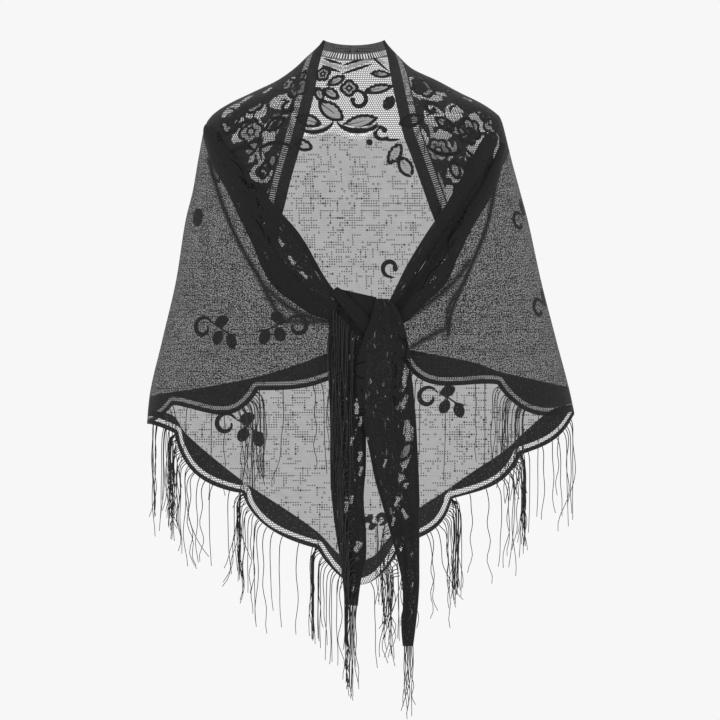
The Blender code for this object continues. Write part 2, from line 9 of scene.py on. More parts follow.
import bmesh
import bpy
import numpy as np
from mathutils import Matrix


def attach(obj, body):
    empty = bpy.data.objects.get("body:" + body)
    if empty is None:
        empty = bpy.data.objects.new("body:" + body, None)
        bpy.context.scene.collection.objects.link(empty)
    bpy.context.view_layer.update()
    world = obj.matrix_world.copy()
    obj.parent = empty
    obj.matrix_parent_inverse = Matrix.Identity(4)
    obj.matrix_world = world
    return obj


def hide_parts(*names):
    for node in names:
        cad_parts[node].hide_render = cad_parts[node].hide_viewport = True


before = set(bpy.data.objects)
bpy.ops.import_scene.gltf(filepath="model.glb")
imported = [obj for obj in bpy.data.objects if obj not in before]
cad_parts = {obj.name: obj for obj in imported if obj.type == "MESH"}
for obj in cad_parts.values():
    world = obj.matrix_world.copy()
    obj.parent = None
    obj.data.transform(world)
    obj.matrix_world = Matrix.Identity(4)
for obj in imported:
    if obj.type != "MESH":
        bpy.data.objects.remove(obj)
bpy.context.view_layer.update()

# The studio. A small pale floor lies under the hanging shawl, in an even white surround, and
# three wide soft lamps stand above and beside it. The camera is level with the shawl's middle.
# Sizes here are in metres.
FLOOR_HEIGHT = -0.98
FLOOR_RADIUS = 1.1
FLOOR_SIDES = 96
FLOOR_ROUGHNESS = 0.7
FLOOR_GRAIN_SCALE = 60.0
FLOOR_COLOUR = (0.86, 0.86, 0.87, 1.0)
SURROUND_COLOUR = (1.0, 1.0, 1.0, 1.0)
SURROUND_STRENGTH = 0.93
VIEW_HEIGHT = -0.3549
VIEW_DISTANCE = 12.0
VIEW_WIDTH = 0.9828
SENSOR_WIDTH = 36.0
FARTHEST_VIEW = 60.0
# Columns: place, width, power.
LAMPS = [
    ((-1.6, -2.2, 1.3), 1.6, 14.0),
    ((1.9, -1.6, 0.9), 1.8, 8.0),
    ((0.2, 1.8, 1.6), 1.8, 8.0),
]


class Wire:
    """A value in a shader, with arithmetic."""

    def __init__(self, finish, socket):
        self.finish = finish
        self.socket = socket

    def math(self, operation, *values):
        return self.finish.node("ShaderNodeMath", {"operation": operation}, dict(enumerate(values)))

    def by(self, operation, *others):
        return self.math(operation, self, *others)

    def __add__(self, other):
        return self.math("ADD", self, other)

    def __radd__(self, other):
        return self.math("ADD", other, self)

    def __sub__(self, other):
        return self.math("SUBTRACT", self, other)

    def __rsub__(self, other):
        return self.math("SUBTRACT", other, self)

    def __mul__(self, other):
        return self.math("MULTIPLY", self, other)

    def __rmul__(self, other):
        return self.math("MULTIPLY", other, self)

    def __truediv__(self, other):
        return self.math("DIVIDE", self, other)

    def __gt__(self, other):
        return self.math("GREATER_THAN", self, other)

    def __lt__(self, other):
        return self.math("LESS_THAN", self, other)


class Finish:
    """A material while it is put together."""

    def __init__(self, name):
        self.material = bpy.data.materials.new(name)
        self.material.use_nodes = True
        self.tree = self.material.node_tree
        self.tree.nodes.clear()

    def node(self, kind, settings, values, output=0):
        """Adds a node, sets it and its sockets, and gives one of its outputs."""
        made = self.tree.nodes.new(kind)
        for key, value in settings.items():
            setattr(made, key, value)
        for key, value in values.items():
            if isinstance(value, Wire):
                self.tree.links.new(value.socket, made.inputs[key])
            else:
                made.inputs[key].default_value = value
        return Wire(self, made.outputs[output])

    def done(self, **surface):
        """Closes the material with one surface shader and returns it."""
        shader = self.node("ShaderNodeBsdfPrincipled", {}, {
            key.replace("_", " "): value for key, value in surface.items()
        })
        out = self.tree.nodes.new("ShaderNodeOutputMaterial")
        self.tree.links.new(shader.socket, out.inputs["Surface"])
        return self.material


def matt_floor():
    finish = Finish("pale_floor")
    place = finish.node("ShaderNodeTexCoord", {}, {}, "Object")
    grain = finish.node("ShaderNodeTexNoise", {}, {"Vector": place, "Scale": FLOOR_GRAIN_SCALE})
    return finish.done(Base_Color=FLOOR_COLOUR, Roughness=FLOOR_ROUGHNESS + 0.1 * grain)


shape = bmesh.new()
bmesh.ops.create_circle(shape, cap_ends=True, segments=FLOOR_SIDES, radius=FLOOR_RADIUS)
bmesh.ops.translate(shape, verts=shape.verts, vec=(0.0, 0.0, FLOOR_HEIGHT))
floor_mesh = bpy.data.meshes.new("floor")
shape.to_mesh(floor_mesh)
shape.free()
floor = bpy.data.objects.new("floor", floor_mesh)
floor.data.materials.append(matt_floor())
bpy.context.scene.collection.objects.link(floor)

surround = bpy.data.worlds.new("white_surround")
surround.use_nodes = True
backing = surround.node_tree.nodes["Background"]
backing.inputs["Color"].default_value = SURROUND_COLOUR
backing.inputs["Strength"].default_value = SURROUND_STRENGTH
bpy.context.scene.world = surround
bpy.context.scene.view_settings.view_transform = "Standard"

for lamp_place, lamp_size, lamp_power in LAMPS:
    lamp_data = bpy.data.lights.new("soft_lamp", "AREA")
    lamp_data.size = lamp_size
    lamp_data.energy = lamp_power
    lamp = bpy.data.objects.new("soft_lamp", lamp_data)
    lamp.location = lamp_place
    aim = -lamp.location
    aim.z += VIEW_HEIGHT
    lamp.rotation_euler = aim.to_track_quat("-Z", "Y").to_euler()
    bpy.context.scene.collection.objects.link(lamp)

camera_data = bpy.data.cameras.new("camera")
camera_data.sensor_width = SENSOR_WIDTH
camera_data.lens = SENSOR_WIDTH * VIEW_DISTANCE / VIEW_WIDTH
camera_data.clip_end = FARTHEST_VIEW
camera = bpy.data.objects.new("camera", camera_data)
camera.location = (0.0, -VIEW_DISTANCE, VIEW_HEIGHT)
camera.rotation_euler = (math.pi / 2, 0.0, 0.0)
bpy.context.scene.collection.objects.link(camera)
bpy.context.scene.camera = camera

# The stretch across the back. One piece of sheer black knit hangs from the neck to a scalloped
# hem, with a flowered lace border along the neck and a close band above the hem. It is one fine
# skin on the worn form, which is given as level rings.
MM = 0.001
NECK_TOP_HEIGHT = 82.5
NECK_BACK_DIP = 5.5
NECK_STEPS = 60
# Rings. Columns: height, left, right, front reach, back reach, depth of the sides, roundness.
RINGS = [
    (83, -50, 33, 10, 48, 8, 2),
    (76, -55, 38, 17, 53, 8, 2),
    (60, -72, 53, 32, 62, 8, 2),
    (44, -89, 70, 45, 71, 8, 2),
    (27, -113, 105, 59, 80, 7, 2),
    (11, -146, 135, 73, 88, 6, 2),
    (-5, -179, 167, 85, 95, 5, 2),
    (-15, -195, 182, 90, 98.5, 4, 2),
    (-22, -203, 190, 93.5, 101, 4, 2.05),
    (-30, -209, 194, 97, 103, 4, 2.1),
    (-41, -213, 197, 101, 105, 3, 2.1),
    (-82, -221, 207, 113, 112, 1, 2.15),
    (-123, -228, 218, 122, 116, 0, 2.2),
    (-164, -238, 229, 128, 118, 0, 2.2),
    (-246, -251, 247, 132, 118, 0, 2.25),
    (-328, -270, 268, 130, 116, 0, 2.25),
    (-410, -288, 289, 127, 114, 0, 2.25),
    (-450, -291, 296, 125, 112, 0, 2.25),
    (-682, -295, 302, 122, 108, 0, 2.25),
]
# Scallops. Columns: across and height of the start, across and height of the end, belly, skew.
HEM_BACK = [
    (-289, -442, -253, -456, -1, 1),
    (-253, -456, -161, -538, 23, 0.95),
    (-161, -538, -59, -614, 18, 0.8),
    (-59, -614, 57, -609, 53, 1),
    (57, -609, 127, -546, 15, 1.2),
    (127, -546, 220, -485, 16, 1.3),
    (220, -485, 294, -423, 14, 1.2),
]
SCALLOP_ROUNDNESS = 0.85
# Lines seen from the front. Columns: across, height.
NECK_EDGE_LEFT = [
    (-47, 81), (-51, 66), (-57, 41), (-61, 12), (-67, -14), (-78, -57), (-93, -109),
    (-101, -143), (-108, -171), (-111, -201),
]
NECK_EDGE_RIGHT = [
    (31, 81), (35, 68), (38, 55), (44, 18), (53, -25), (59, -51), (70, -81), (85, -123),
    (97, -157), (105, -177), (109, -191),
]
BAND_TOP_BACK = [
    (-289, -422), (-273, -426), (-254, -433), (-235, -460), (-167, -517), (-94, -566),
    (-56, -594), (-29, -622), (-4, -632), (20, -624), (38, -602), (79, -561), (113, -538),
    (156, -508), (198, -480), (228, -452), (263, -423), (293, -415),
]
BORDER_EDGE_BACK = [
    (-218, -74), (-175, -63), (-134, -52), (-102, -46), (-74, -49), (-41, -42), (-20, -48),
    (0, -52), (19, -45), (41, -52), (68, -51), (109, -57), (150, -68), (198, -76),
]
BACK_FOLD_DEPTH = 5.0
BACK_FOLD_WAVES = 7.0
BACK_FOLD_REACH = 400.0
BACK_SHOULDER_HEIGHT = -45.0
BACK_COLUMNS = 280
BACK_SHOULDER_ROWS = 100
BACK_FIELD_ROWS = 170

rings = np.array(RINGS, float)
drops = -rings[:, 0]


def ring_slopes():
    """Slopes that join the rings smoothly and never overshoot."""
    rises = np.diff(rings, axis=0) / np.diff(drops)[:, None]
    before, after = rises[:-1], rises[1:]
    same_way = before * after > 0.0
    both = np.where(same_way, before + after, 1.0)
    middle = np.where(same_way, 2.0 * before * after / both, 0.0)
    return np.vstack([rises[:1], middle, rises[-1:]])


slopes = ring_slopes()


def ring_at(height):
    """Centre, half width, front reach, back reach, side depth and roundness at each height."""
    place = np.clip(-height, drops[0], drops[-1])
    first = np.clip(np.searchsorted(drops, place, side="right") - 1, 0, len(drops) - 2)
    step = (drops[first + 1] - drops[first])[..., None]
    t = (place - drops[first])[..., None] / step
    values = (
        rings[first] * (1 + 2 * t) * (1 - t) ** 2
        + slopes[first] * step * t * (1 - t) ** 2
        + rings[first + 1] * t * t * (3 - 2 * t)
        + slopes[first + 1] * step * t * t * (t - 1)
    )
    left, right, front, back, side, roundness = np.moveaxis(values[..., 1:], -1, 0)
    return (left + right) / 2, (right - left) / 2, front, back, side, roundness


def signed_power(value, power):
    return np.sign(value) * np.abs(value) ** power


def body_point(angle, height):
    """Points of the worn form, from angles round it from the middle of the back."""
    centre, half, front, back, side, roundness = ring_at(height)
    reach = np.where(np.cos(angle) > 0.0, back, front)
    across = centre + half * signed_power(np.sin(angle), 2.0 / roundness)
    depth = side + reach * signed_power(np.cos(angle), 2.0 / roundness)
    return np.stack([across, depth, height + 0.0 * across], axis=-1)


TINY = 1e-9


def unit(vectors):
    return vectors / np.maximum(np.linalg.norm(vectors, axis=-1, keepdims=True), TINY)


def body_outward(angle, height):
    """Directions straight out of the worn form."""
    turn, drop = 0.01, 1.5
    round_it = body_point(angle + turn, height) - body_point(angle - turn, height)
    down_it = body_point(angle, height - drop) - body_point(angle, height + drop)
    return unit(np.cross(round_it, down_it))


def lifted(angle, height, lift):
    """Points at a distance straight out of the worn form."""
    lift = np.asarray(lift, float)
    return body_point(angle, height) + body_outward(angle, height) * lift[..., None]


def place_on_body(across, height, at_front):
    """Angles and heights of points seen at an across and height from the front."""
    across, height = np.asarray(across, float), np.asarray(height, float)
    centre, half, _, _, _, roundness = ring_at(height)
    share = np.clip((across - centre) / half, -1.0, 1.0)
    angle = np.arcsin(np.abs(share) ** (roundness / 2.0))
    if at_front:
        angle = math.pi - angle
    return np.where(share < 0.0, -angle, angle), height


def smooth_line(points, pieces=8):
    """Points along a smooth curve through the given points."""
    points = np.array(points, float)
    ends = np.vstack([points[:1], points, points[-1:]])
    t = (np.arange(pieces) / pieces)[None, :, None]
    before, start, end, after = (ends[i:len(ends) - 3 + i, None, :] for i in range(4))
    line = 0.5 * (2 * start + (end - before) * t
                  + (2 * before - 5 * start + 4 * end - after) * t ** 2
                  + (3 * start - before - 3 * end + after) * t ** 3)
    return np.vstack([line.reshape(-1, points.shape[1]), points[-1:]])


def hem_line(scallops, steps=24):
    """Points along a scalloped hem, each scallop ending in a cusp."""
    points = []
    for start_x, start_z, end_x, end_z, belly, skew in scallops:
        start, end = np.array([start_x, start_z]), np.array([end_x, end_z])
        run = end - start
        out = np.array([run[1], -run[0]]) / np.hypot(*run)
        out = out if out[1] < 0.0 else -out
        t = (np.arange(steps) / steps)[:, None]
        bulge = belly * np.sin(math.pi * t ** skew) ** SCALLOP_ROUNDNESS
        points.append(start + run * t + out * bulge)
    points.append(np.array([scallops[-1][2:4]], float))
    return np.vstack(points)


def lengths_along(points):
    """How far along a line each of its points lies."""
    steps = np.linalg.norm(np.diff(points, axis=0), axis=1)
    return np.concatenate([[0.0], np.cumsum(steps)])


def spaced(places, count):
    """The given number of places, evenly spaced along a line of places on the body."""
    lengths = lengths_along(body_point(places[:, 0], places[:, 1]))
    wanted = np.linspace(0.0, lengths[-1], count)
    return np.stack([np.interp(wanted, lengths, places[:, k]) for k in range(2)], axis=1)


def nearest(points, line):
    """Distance from each point to a line of points, and how far along the line that is."""
    best = np.full(len(points), np.inf)
    run = np.zeros(len(points))
    passed = 0.0
    for start, end in zip(line[:-1], line[1:]):
        way = end - start
        length = np.linalg.norm(way)
        if length < TINY:
            continue
        t = np.clip((points - start) @ way / length ** 2, 0.0, 1.0)
        gap = np.linalg.norm(points - start - t[:, None] * way, axis=1)
        closer = gap < best
        best[closer] = gap[closer]
        run[closer] = passed + t[closer] * length
        passed += length
    return best, run


def neck_edge_points():
    """The long straight edge of the shawl, from one front round the neck to the other."""
    left = place_on_body(*smooth_line(NECK_EDGE_LEFT).T, True)
    right = place_on_body(*smooth_line(NECK_EDGE_RIGHT).T, True)
    behind = np.linspace(-math.pi / 2, math.pi / 2, NECK_STEPS)
    top = NECK_TOP_HEIGHT - NECK_BACK_DIP * np.cos(behind) ** 2
    return np.vstack([
        body_point(left[0][::-1], left[1][::-1]), body_point(behind, top), body_point(*right),
    ])


neck_edge = neck_edge_points()
FAR = 9.0
DEEPEST = 60.0
LEAST_FACING = 0.3
KNIT_SHAPES = ("solid", "half", "open", "net", "pierced", "ladder")
KNIT_MEASURES = ("run", "grain", "thick")


class Knit:
    """How close the knit is at each point of a cloth.

    A shape is kept as the distance to it in millimetres, less than nothing inside it. solid is
    close knit, half is the thinner knit inside leaves, open is a hole, net is the lace ground,
    pierced is a row of pin holes and ladder a row of slits, which run counts along. thick is how
    doubled the cloth lies, and it also carries painted shade: denser knit along creases, folds and
    the sides, where shade falls. grain is how rough the plain knit is.
    """

    def __init__(self, points, outward):
        self.points = points.reshape(-1, 3)
        self.outward = outward.reshape(-1, 3)
        for name in KNIT_SHAPES:
            setattr(self, name, np.full(len(self.points), FAR))
        for name in KNIT_MEASURES:
            setattr(self, name, np.zeros(len(self.points)))

    def add(self, name, distance, where=slice(None)):
        values = getattr(self, name)
        values[where] = np.minimum(values[where], distance)

    def clear(self, name, distance, where=slice(None)):
        """Takes a shape out of what is there."""
        values = getattr(self, name)
        values[where] = np.maximum(values[where], -distance)

    # Raises thick, for doubled cloth and for painted shade along creases, folds and the sides.
    def thicken_and_shade(self, amount):
        self.thick = np.maximum(self.thick, amount)

    def seen_flat(self, spot, reach, turn=0.0):
        """The points near a spot, as flat distances along and across a motif laid there."""
        angle, level = place_on_body(*spot)
        place = body_point(angle, level)
        out = body_outward(angle, level)
        rightwards = unit(np.array([1.0, 0.0, 0.0]) - out * out[0])
        upwards = np.cross(out, rightwards)
        upwards = upwards if upwards[2] > 0.0 else -upwards
        offset = self.points - place
        beside, above = offset @ rightwards, offset @ upwards
        near = (np.hypot(beside, above) < reach) & (self.outward @ out > LEAST_FACING)
        near &= np.abs(offset @ out) < DEEPEST
        a, b = beside[near], above[near]
        c, s = math.cos(math.radians(turn)), math.sin(math.radians(turn))
        return near, a * c + b * s, b * c - a * s


def line_gap(a, b, line):
    """Distance from flat points to a line of (along, across, half width) points, less its width."""
    best = np.full(len(a), 4 * FAR)
    for (a0, b0, w0), (a1, b1, w1) in zip(line[:-1], line[1:]):
        da, db = a1 - a0, b1 - b0
        t = np.clip(((a - a0) * da + (b - b0) * db) / (da * da + db * db + TINY), 0.0, 1.0)
        gap = np.hypot(a - a0 - da * t, b - b0 - db * t) - (w0 + (w1 - w0) * t)
        best = np.minimum(best, gap)
    return best


def almond(a, b, length, width):
    """Signed distance to a leaf shape that starts at nothing and points along."""
    half, rise = length / 2, width / 2
    radius = (half * half + rise * rise) / (2 * rise)
    drop = radius - rise
    upper = np.hypot(a - half, b + drop) - radius
    lower = np.hypot(a - half, b - drop) - radius
    return np.maximum(upper, lower)


def shares(steps):
    """Even shares of a way, from 0 to 1."""
    return [step / steps for step in range(steps + 1)]


# A motif's reach is how far from its spot it is drawn, as a share of its size.
OUTLINE = 2.2
LEAF_REACH = 1.4
LEAF_RIPPLE = 0.7
LEAF_RIPPLE_RATE = 0.9
# Vein of a leaf. Columns: along as a share of the length, half width.
LEAF_VEIN = [(-0.5, 0.9), (0.15, 0.5)]


def leaf_shape(knit, spot, turn, length, width):
    """The points near a leaf with one rippled side, laid flat, and their distances to it."""
    near, a, b = knit.seen_flat(spot, length * LEAF_REACH, turn)
    ripple = LEAF_RIPPLE * np.sin(a * LEAF_RIPPLE_RATE) * (b > 0.0)
    return near, a, b, almond(a + length / 2, b, length, width) + ripple


def leaf(knit, spot, turn, length, width):
    """A leaf of thinner knit in a close outline, with a vein."""
    near, a, b, inside = leaf_shape(knit, spot, turn, length, width)
    knit.clear("solid", inside + OUTLINE, near)
    knit.add("solid", np.abs(inside) - OUTLINE, near)
    knit.add("half", inside, near)
    vein = [(length * along, 0.0, half_width) for along, half_width in LEAF_VEIN]
    knit.add("solid", line_gap(a, b, vein), near)


def full_leaf(knit, spot, turn, length, width):
    """The same leaf, close knit all over."""
    near, _, _, inside = leaf_shape(knit, spot, turn, length, width)
    knit.add("solid", inside, near)


FLOWER_REACH = 1.5
PETAL_DEPTH = 0.26
PETAL_ROUNDNESS = 0.7
PETAL_SLOPE = 0.92
FLOWER_EYE = 0.3
FLOWER_EYE_WIDTH = 1.5
RAY_END = 0.66
RAY_WIDTH = 0.9


def flower(knit, spot, turn, radius, petals):
    """An open flower: notched petals round a ring, with rays between."""
    near, a, b = knit.seen_flat(spot, radius * FLOWER_REACH, turn)
    round_it = np.arctan2(b, a)
    out = np.hypot(a, b)
    notches = np.abs(np.cos(petals * round_it / 2)) ** PETAL_ROUNDNESS
    edge = radius * (1.0 - PETAL_DEPTH + PETAL_DEPTH * notches)
    inside = (out - edge) * PETAL_SLOPE
    knit.clear("solid", inside + OUTLINE, near)
    knit.add("solid", np.abs(inside) - OUTLINE, near)
    knit.add("half", inside, near)
    knit.add("solid", np.abs(out - radius * FLOWER_EYE) - FLOWER_EYE_WIDTH, near)
    spokes = np.abs(np.sin(petals * round_it / 2)) * out / petals * 2
    reach = np.maximum(out - radius * RAY_END, radius * FLOWER_EYE - out)
    knit.add("solid", np.maximum(spokes - RAY_WIDTH, reach), near)


BOW_TIP = 0.4


def bowed_line(knit, spot, turn, length, rise, heavy):
    """The points near a bowed line that is thick in the middle, and their distances to it."""
    near, a, b = knit.seen_flat(spot, length, turn)
    line = []
    for t in shares(16):
        arch = math.sin(math.pi * t)
        line.append((length * (t - 0.5), rise * arch, heavy * (BOW_TIP + (1.0 - BOW_TIP) * arch)))
    return near, line_gap(a, b, line)


STROKE_WEIGHT = 2.2
PALE_STROKE_WEIGHT = 2.6


def stroke(knit, spot, turn, length, rise):
    """A bowed line of close knit."""
    near, gap = bowed_line(knit, spot, turn, length, rise, STROKE_WEIGHT)
    knit.add("solid", gap, near)


def pale_stroke(knit, spot, turn, length, rise):
    """A bowed line of thinner knit."""
    near, gap = bowed_line(knit, spot, turn, length, rise, PALE_STROKE_WEIGHT)
    knit.clear("solid", gap, near)
    knit.add("half", gap, near)


SCROLL_REACH = 2.2
SCROLL_WEIGHT = 3.2
SCROLL_TIP = 0.9


def scroll(knit, spot, turn, size, hand):
    """A curl that winds in from a fine tail to a round end."""
    near, a, b = knit.seen_flat(spot, size * SCROLL_REACH, turn)
    line = []
    for t in shares(24):
        angle = math.radians(-30 + 300 * t)
        radius = size * (1.0 - 0.5 * t)
        swell = math.sin(math.pi * min(t * 0.75 + 0.1, 1.0))
        width = SCROLL_TIP + (SCROLL_WEIGHT - SCROLL_TIP) * swell
        line.append((radius * math.cos(angle), hand * radius * math.sin(angle), width))
    knit.add("solid", line_gap(a, b, line), near)
    end = line[-1]
    knit.add("solid", np.hypot(a - end[0], b - end[1]) - SCROLL_WEIGHT * 1.2, near)


CRESCENT_REACH = 1.6
CRESCENT_FLATNESS = 0.62
CRESCENT_LIFT = 0.3
BOWL_EDGE = 0.02
EYELET_ROW = 2.4
EYELET_HEIGHT = 0.8
EYELET_PITCH = 2.8
EYELET_WIDTH = 0.9


def crescent(knit, spot, turn, size, _second):
    """A thick bow with thin knit held in its hollow, and a row of eyelets under it."""
    near, a, b = knit.seen_flat(spot, size * CRESCENT_REACH, turn)
    lift = size * CRESCENT_LIFT
    line = []
    for t in shares(18):
        angle = math.radians(195 + 150 * t)
        line.append((
            size * math.cos(angle), size * CRESCENT_FLATNESS * math.sin(angle) + lift,
            1.0 + 2.0 * math.sin(math.pi * t),
        ))
    bow = line_gap(a, b, line)
    knit.add("solid", bow, near)
    bowl = (np.hypot(a, (b - lift) / CRESCENT_FLATNESS) - size) * 0.7
    knit.add("half", np.maximum(bowl, b - size * BOWL_EDGE), near)
    below = np.maximum(np.abs(bow - EYELET_ROW) - EYELET_HEIGHT, b + size * BOWL_EDGE)
    count = np.arctan2(b - lift, a) * size / EYELET_PITCH
    eyelet = np.abs(count % 1.0 - 0.5) * EYELET_PITCH - EYELET_WIDTH
    knit.add("open", np.maximum(below, eyelet), near)


DOT_REACH = 3.0


def dot(knit, spot, turn, radius, _second):
    """A round spot of close knit."""
    near, a, b = knit.seen_flat(spot, radius * DOT_REACH, turn)
    knit.add("solid", np.hypot(a, b) - radius, near)


# Stem of a sprig. Columns: along and across the place as shares of its size, half width.
SPRIG_STEM = [(-0.3, 0.25, 1.2), (0.0, 0.12, 1.3), (0.35, -0.06, 1.2), (0.72, -0.12, 0.9)]
# Leaves of a sprig. Columns: along and across the place, turn, length, as shares of its size.
SPRIG_LEAVES = [(-0.14, 0.16, 28, 0.5), (0.12, 0.0, -118, 0.46), (0.36, -0.06, -66, 0.48)]
SPRIG_LEAF_WIDTH = 0.34
SPRIG_REACH = 1.8
CURL_ALONG = -0.52
CURL_BESIDE = 0.05
CURL_RADIUS = 0.32
CURL_TIGHTENING = 0.15


def sprig(knit, spot, turn, size, hand):
    """A curl with a stem and three full leaves, which is scattered over the plain knit."""
    near, a, b = knit.seen_flat(spot, size * SPRIG_REACH, turn)
    b = b * hand
    curl = []
    for t in shares(22):
        angle = math.radians(40 + 330 * t)
        radius = size * (CURL_RADIUS - CURL_TIGHTENING * t)
        curl.append((
            size * CURL_ALONG + radius * math.cos(angle),
            size * CURL_BESIDE + radius * math.sin(angle),
            1.5 + 1.9 * math.sin(math.pi * t),
        ))
    knit.add("solid", line_gap(a, b, curl), near)
    stem = [(size * along, size * beside, half_width) for along, beside, half_width in SPRIG_STEM]
    knit.add("solid", line_gap(a, b, stem), near)
    for along, beside, way, length in SPRIG_LEAVES:
        c, s = math.cos(math.radians(way)), math.sin(math.radians(way))
        leaf_a, leaf_b = a - along * size, b - beside * size
        knit.add("solid", almond(
            leaf_a * c + leaf_b * s, leaf_b * c - leaf_a * s, length * size,
            SPRIG_LEAF_WIDTH * size,
        ), near)


MOTIF_SHAPES = {
    "leaf": leaf, "full leaf": full_leaf, "flower": flower, "stroke": stroke,
    "pale stroke": pale_stroke, "scroll": scroll, "crescent": crescent, "dot": dot, "sprig": sprig,
}
# Motifs that lie on the back. Columns: kind, then across, height, turn, size and second, which is
# a leaf's width, a flower's petals, a stroke's rise, or the hand of a scroll or a sprig.
BACK_MOTIFS = [
    ("pale stroke", [(-40, 51, -30, 34, -1), (-4, 52, 22, 44, -1)]),
    ("stroke", [
        (-38, 56, -30, 30, -1), (-40, 46, -32, 30, -1), (-4, 57, 22, 42, -1),
        (-4, 46, 22, 44, -1),
    ]),
    ("pale stroke", [(27, 57, -14, 22, -1)]),
    ("stroke", [(27, 52, -34, 34, 0)]),
    ("flower", [(-51, 38, 10, 10, 5)]),
    ("leaf", [
        (-33, 29, 22, 24, 11), (-40, 12, -38, 24, 12), (-40, -12, -38, 40, 20),
        (-56, 11, -70, 22, 11),
    ]),
    ("flower", [(-15, 19, 0, 11, 4)]),
    ("scroll", [(-3, 3, 90, 14, -1)]),
    ("leaf", [(25, 18, 16, 38, 11), (29, 38, 8, 26, 10)]),
    ("full leaf", [(40, -1, 60, 24, 16)]),
    ("crescent", [(-59, -33, 10, 24, 1), (-4, -31, -2, 29, 1)]),
    ("leaf", [(0, -27, 14, 46, 16)]),
    ("scroll", [(29, -41, -60, 11, -1)]),
    ("stroke", [(44, -51, 6, 26, -1)]),
    ("dot", [(13, -55, 0, 4.6, 1)]),
    ("leaf", [(48, -71, 58, 30, 15), (63, -89, -58, 28, 17), (-78, -59, -20, 24, 13)]),
    ("sprig", [(-161, -448, -6, 48, 1), (117, -410, -4, 46, 1), (16, -577, 200, 26, 1)]),
    ("scroll", [(42, -228, -100, 13, -1)]),
]
# Motifs over the right shoulder, which are mirrored over the left one.
SHOULDER_MOTIFS = [
    ("flower", [(87, 19, 10, 17, 5), (150, -41, -15, 18, 6)]),
    ("leaf", [
        (71, -25, 20, 34, 15), (117, -30, -30, 30, 14), (117, 16, -40, 28, 12),
        (169, -16, -50, 26, 12),
    ]),
    ("crescent", [(117, -64, -2, 26, 1), (164, -71, -8, 24, 1)]),
    ("scroll", [(98, -8, 60, 10, 1)]),
    ("flower", [(104, 22, 0, 15, 6), (145, -4, 10, 15, 5), (179, -29, 20, 16, 5)]),
    ("leaf", [
        (82, 33, -40, 24, 12), (124, 8, -40, 24, 12), (164, -16, -40, 24, 12),
        (195, -57, -80, 28, 14), (131, -93, -70, 26, 13), (177, -98, -60, 26, 13),
    ]),
]


def draw(knit, motifs, at_front):
    """Lays motifs on a cloth, seen from the front, in their order."""
    for kind, rows in motifs:
        for across, height, turn, size, second in rows:
            MOTIF_SHAPES[kind](knit, (across, height, at_front), turn, size, second)


def hung(name, mesh, finish, replaced):
    """Hangs a finished mesh in the scene as a piece of the shawl, in place of a plain solid."""
    mesh.update()
    mesh.shade_smooth()
    item = bpy.data.objects.new(name, mesh)
    item.data.materials.append(finish)
    bpy.context.scene.collection.objects.link(item)
    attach(item, "root")
    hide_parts(replaced)
    return item


def cloth_skin(name, points, knit, flat, replaced, finish):
    """A cloth of one fine skin through a grid of points, with its knit and its flat places."""
    rows, columns = points.shape[:2]
    shape = bmesh.new()
    bmesh.ops.create_grid(shape, x_segments=columns - 1, y_segments=rows - 1, size=1.0)
    mesh = bpy.data.meshes.new(name)
    shape.to_mesh(mesh)
    shape.free()
    raw = np.zeros(len(mesh.vertices) * 3)
    mesh.vertices.foreach_get("co", raw)
    raw = raw.reshape(-1, 3)
    column = np.rint((raw[:, 0] + 1.0) / 2.0 * (columns - 1)).astype(int)
    row = np.rint((raw[:, 1] + 1.0) / 2.0 * (rows - 1)).astype(int)
    mesh.vertices.foreach_set("co", (points[row, column] * MM).ravel())
    mesh.update()
    r, c = rows // 2, columns // 2
    across, down = points[r, c + 1] - points[r, c], points[r + 1, c] - points[r, c]
    if np.cross(across, down) @ knit.outward[r * columns + c] < 0.0:
        mesh.flip_normals()
    corner = np.zeros(len(mesh.loops), int)
    mesh.loops.foreach_get("vertex_index", corner)
    layer = mesh.uv_layers.new(name="knit_place")
    layer.data.foreach_set("uv", (flat[row, column] * MM)[corner].ravel())
    for key in KNIT_SHAPES + KNIT_MEASURES:
        values = getattr(knit, key)[row * columns + column].astype(np.float32)
        mesh.attributes.new(key, "FLOAT", "POINT").data.foreach_set("value", values)
    return hung(name, mesh, finish, replaced)


KNIT_BLACK = (0.0115, 0.011, 0.012, 1.0)
# Painted shade: the colour of the pin holes, where the layers behind them lie in shadow.
PIN_HOLE_SHADE = (0.0, 0.0, 0.0, 1.0)
DOT_PITCH = 3.35
DOT_COVER = 0.96
# Dashes of dots: the length of a period and the most that a dash gains, in dots, a seed for
# chance, and the share of periods that hold a dash.
LEVEL_DASHES = {"period": 9.0, "gain": 6.0, "seed": 1.0, "share": 0.5}
UPRIGHT_DASHES = {"period": 7.0, "gain": 3.0, "seed": 11.0, "share": 0.26}
SHORTEST_DASH = 2.0
RING_RADIUS = 0.35
RINGLESS_SHARE = 0.95
RING_SEED = 21.0
RULELESS_SHARE = 0.93
RULE_SEED = 31.0
RULE_COVER = 0.07
RIB_PITCH = 2.3
RIB_COVER = 0.025
CLOUD_COVER = 0.1
STITCH_PITCH = 1.7
HOLE_WIDE = 3.2
HOLE_HIGH = 2.8
NET_COVERS = (0.04, 0.97)
HALF_COVER = 0.66
HALF_RIB_COVER = 0.08
THIN_SPOTS = 0.12
THIN_SPOT_LEVEL = 0.68
STREAK_ACROSS = 0.16
STREAK_DOWN = 0.05
PIN_OPENNESS = 0.04
SLIT_PITCH = 3.0
SLIT_OPENNESS = 0.8
# Where each mark starts to show and where it is whole, as a share of its pitch or of the noise.
DOT_EDGE = (0.35, 0.2)
RING_EDGE = (0.15, 0.05)
RULE_EDGE = (0.2, 0.05)
GRAIN_EDGE = (0.38, 0.62)
NET_EDGE = (0.34, 0.52)
STREAK_EDGE = (0.61, 0.7)
PIN_EDGE = (0.8, 0.3)
SLIT_EDGE = (0.26, 0.14)


